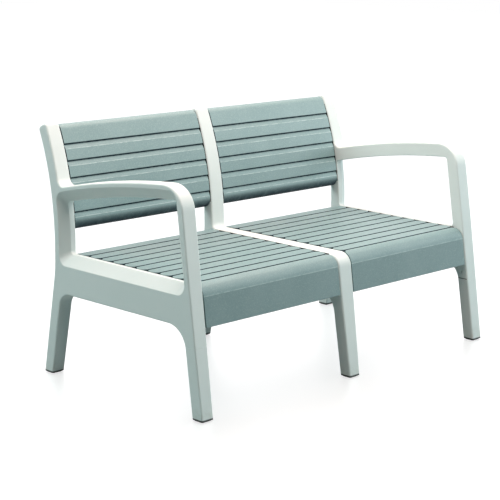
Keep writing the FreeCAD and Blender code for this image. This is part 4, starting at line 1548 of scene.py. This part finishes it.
@dataclass
class Studio:
    """Plain soft light, pale floor and camera."""

    lamps: tuple[Lamp, ...] = (Lamp("right_lamp", (0.95, -0.45, 0.24), 0.42, 5.0, 4.0, (0.80, 0.95, 1.0)),
                               Lamp("front_lamp", (0.10, -0.60, 1.05), 0.40, 4.0, 4.0, (0.75, 0.98, 1.0)),
                               Lamp("fill_lamp", (-0.70, 0.45, 0.60), 0.40, 6.0, 3.0, (0.78, 0.99, 1.0)),
                               Lamp("rear_lamp", (0.0, 0.80, 0.70), 0.15, 5.0, 3.0, (0.65, 0.97, 1.0)),
                               Lamp("top_lamp", (0.0, 0.0, 1.0), 1.18, 1.9, 3.0, (1.0, 0.75, 0.675)))
    sheen: float = 0.6
    aim: Place = (0.0, 0.0, 0.35)
    ambient: float = 0.02
    ambient_colour: Colour = (0.86, 1.0, 0.99)
    floor_size: float = 30.0
    floor_glow: float = 0.70
    floor_tint: Colour = (0.03, 0.03, 0.03)
    floor_bounce: Colour = (0.27, 0.335, 0.335)
    floor_gloss: float = 0.46
    floor_rough: float = 0.38
    mirror_glow: float = 0.15
    mirror_tint: Colour = (0.75, 0.75, 0.75)
    camera_place: Place = (-3.42864, -3.18109, 1.33989)
    yaw: float = math.radians(46.314)
    pitch: float = math.radians(12.2035)
    roll: float = math.radians(-1.0649)
    lens: float = 112.04
    sensor: float = 36.0

    @staticmethod
    def seen(wiring: Wiring) -> Socket:
        """One for rays from the camera, reflections and clear materials, and nought for scattered light."""
        path = wiring.add("ShaderNodeLightPath").outputs
        return wiring.total(path["Is Camera Ray"], path["Is Glossy Ray"], path["Is Transmission Ray"])

    def light(self) -> None:
        """Sets the lamps and the even light of the surroundings.

        A lamp's power is its level times pi squared times the sum of the squares of its distance and its
        radius, so that a white surface that faces it is as bright as the level.
        """
        for lamp in self.lamps:
            data = bpy.data.lights.new(lamp.name, "AREA")
            data.shape = "DISK"
            data.size = lamp.width
            data.energy = lamp.level * math.pi ** 2 * (lamp.distance ** 2 + (lamp.width / 2) ** 2)
            data.color = lamp.colour
            data.specular_factor = self.sheen
            piece = linked(lamp.name, data)
            way = Vector(lamp.way).normalized()
            piece.location = Vector(self.aim) + way * lamp.distance
            piece.rotation_euler = way.to_track_quat("Z", "Y").to_euler()
            piece.visible_camera = False
        world = bpy.data.worlds.new("pale_room")
        wiring = Wiring.fresh(world)
        dim = (*(self.ambient * part for part in self.ambient_colour), 1.0)
        colour = wiring.mix(self.seen(wiring), dim, (1.0, 1.0, 1.0, 1.0))
        room = wiring.make("ShaderNodeBackground", {"Color": colour})
        wiring.feed(wiring.add("ShaderNodeOutputWorld").inputs["Surface"], room)
        bpy.context.scene.world = world

    def floor_material(self) -> bpy.types.Material:
        """White floor that keeps the bench's shadow and faint reflections, and is clear from below.

        The camera sees mostly the floor's own glow. Reflections and clear materials see the floor as it is
        lit, and scattered light leaves it as from a grey surface.

        Returns:
            The material.
        """
        material = bpy.data.materials.new("pale_floor")
        wiring = Wiring.fresh(material)
        path = wiring.add("ShaderNodeLightPath").outputs
        mirrored = wiring.total(path["Is Glossy Ray"], path["Is Transmission Ray"])
        shown = wiring.join(wiring.glow(self.floor_glow), wiring.matt(self.floor_tint),
                            wiring.gloss(self.floor_gloss, self.floor_rough))
        lit = wiring.join(wiring.glow(self.mirror_glow), wiring.matt(self.mirror_tint))
        above = wiring.either(mirrored, wiring.matt(self.floor_bounce), lit)
        above = wiring.either(path["Is Camera Ray"], above, shown)
        clear = wiring.add("ShaderNodeBsdfTransparent").outputs[0]
        whole = wiring.either(wiring.add("ShaderNodeNewGeometry").outputs["Backfacing"], above, clear)
        wiring.feed(wiring.add("ShaderNodeOutputMaterial").inputs["Surface"], whole)
        return material

    def floor(self) -> None:
        """Lays the floor under the bench."""
        half = self.floor_size / 2
        corners = [(-half, -half, 0), (half, -half, 0), (half, half, 0), (-half, half, 0)]
        mesh = bpy.data.meshes.new("floor")
        mesh.from_pydata(corners, [], [(0, 1, 2, 3)])
        mesh.materials.append(self.floor_material())
        piece = linked("floor", mesh)

    def camera(self) -> None:
        """Sets the camera at the photograph's place and angle.

        It looks along (sin yaw cos pitch, cos yaw cos pitch, -sin pitch), rolled about that way.
        """
        level = math.cos(self.pitch)
        forward = np.array([math.sin(self.yaw) * level, math.cos(self.yaw) * level, -math.sin(self.pitch)])
        right = np.array([math.cos(self.yaw), -math.sin(self.yaw), 0.0])
        down = np.cross(forward, right)
        matrix = np.eye(4)
        matrix[:3, 0] = math.cos(self.roll) * right + math.sin(self.roll) * down
        matrix[:3, 1] = math.sin(self.roll) * right - math.cos(self.roll) * down
        matrix[:3, 2] = -forward
        matrix[:3, 3] = self.camera_place
        data = bpy.data.cameras.new("camera")
        data.lens = self.lens
        data.sensor_width = self.sensor
        piece = linked("camera", data)
        piece.matrix_world = Matrix(matrix.tolist())
        bpy.context.scene.camera = piece

    def build(self) -> None:
        """Sets light, floor and camera, and the plain view."""
        self.light()
        self.floor()
        self.camera()
        bpy.context.scene.view_settings.view_transform = "Standard"


@dataclass
class Bench:
    """Whole bench: solids kept with their finishes, and pieces made in place of the slatted ones.

    Attributes:
        lines: Lines of the frames.
        screw_sink: Depth of the screw heads in the frames.
        plug_middle: Height of the screws in the front legs.
        leg_depth: Depth of the front legs at those screws.
        ledge_low: Height of the ledges' lower faces.
        tenon_grip: Distance of the backs' screws inside the uprights' faces.
    """

    lines: BenchLines = field(default_factory=BenchLines)
    screw_sink: float = 4.5
    plug_middle: float = 221.0
    leg_depth: float = 39.5
    ledge_low: float = 329.0
    tenon_grip: float = 11.75

    def finishes(self) -> dict[Slot, bpy.types.Material]:
        """Makes every finish.

        Returns:
            The materials by slot.
        """
        effects = Effects()
        kinds = {Slot.FRAME: FrameResin(), Slot.SLAT: SlatResin(), Slot.GLIDE: GlideRubber(),
                 Slot.SCREW: PlatedSteel()}
        return {slot: kind.build(effects) for slot, kind in kinds.items()}

    def dress(self, materials: dict[Slot, bpy.types.Material]) -> None:
        """Gives each solid the finish of its slot.

        Args:
            materials: Materials by slot.
        """
        for part in frame["record"]["subparts"]:
            mesh = frame["nodes"][part["node"]].data
            mesh.materials.clear()
            mesh.materials.append(materials[Slot(part["material_slot"])])
            LOG.info("dressed %s as %s", part["node"], part["material_slot"])

    def put(self, piece: bpy.types.Object, node: str, slot: Slot, material: bpy.types.Material) -> None:
        """Fits a made piece in place of a solid.

        Args:
            piece: Piece that was made.
            node: Solid that it stands for.
            slot: Slot of its finish; not used.
            material: Its material.
        """
        piece.data.materials.append(material)
        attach(piece, BODY)
        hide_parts(node)
        LOG.info("built %s with %d faces", piece.name, len(piece.data.polygons))

    def seat_screws(self, seat: Seat) -> list[ScrewSpot]:
        """Screws that go up through the ledges into a seat."""
        return [ScrewSpot((x, y, self.ledge_low), UPWARD) for x, y in seat.boss_places]

    def back_screws(self, back: Back) -> list[ScrewSpot]:
        """Screws that go through the uprights into the tenons of a back.

        Args:
            back: Back with the tenons.

        Returns:
            Their places.
        """
        spots = []
        lines, radius = self.lines, self.lines.sweep_radius
        reach = radius - lines.upright + self.screw_sink
        tenon_reach = radius - back.recess - back.tenon_setback
        for band in back.tenon_bands:
            angle = lines.top_angle - (back.groove_runs[band] + back.pitch / 2) / radius
            y = lines.sweep_centre[0] - reach * math.cos(angle)
            z = lines.sweep_centre[1] + reach * math.sin(angle)
            middle = lines.sweep_centre[1] + tenon_reach * math.sin(angle)
            start, end = (edge.at(middle) for edge in lines.ends(back.side, 0.0))
            for x in (start - self.tenon_grip, end + self.tenon_grip):
                spots.append(ScrewSpot((x, y, z), (0.0, -math.cos(angle), math.sin(angle))))
        return spots

    def leg_screws(self) -> list[ScrewSpot]:
        """Screws that hold the plugs of the two lower front legs.

        Returns:
            Their places.
        """
        x = self.screw_sink - self.lines.side_face.at(self.plug_middle)
        y = self.lines.leg_front(self.plug_middle) + self.leg_depth / 2
        return [ScrewSpot((side.value * x, y, self.plug_middle), (float(side.value), 0.0, 0.0))
                for side in Side]

    def build(self) -> None:
        """Builds and dresses every piece."""
        materials = self.finishes()
        self.dress(materials)
        for side in Side:
            seat, back = Seat(side, self.lines), Back(side, self.lines)
            self.put(seat.build(), side.label + "_seat", Slot.SLAT, materials[Slot.SLAT])
            self.put(back.build(), side.label + "_back", Slot.SLAT, materials[Slot.SLAT])
            for node, spots in ((side.label + "_seat_screws", self.seat_screws(seat)),
                                (side.label + "_back_screws", self.back_screws(back))):
                self.put(Screws(node, spots).build(), node, Slot.SCREW, materials[Slot.SCREW])
        node = "front_leg_screws"
        self.put(Screws(node, self.leg_screws()).build(), node, Slot.SCREW, materials[Slot.FRAME])


def main() -> None:
    """Builds the bench and the studio."""
    logging.basicConfig(level=logging.INFO, format="%(name)s: %(message)s")
    Bench().build()
    Studio().build()


if __name__ == "__main__":
    main()
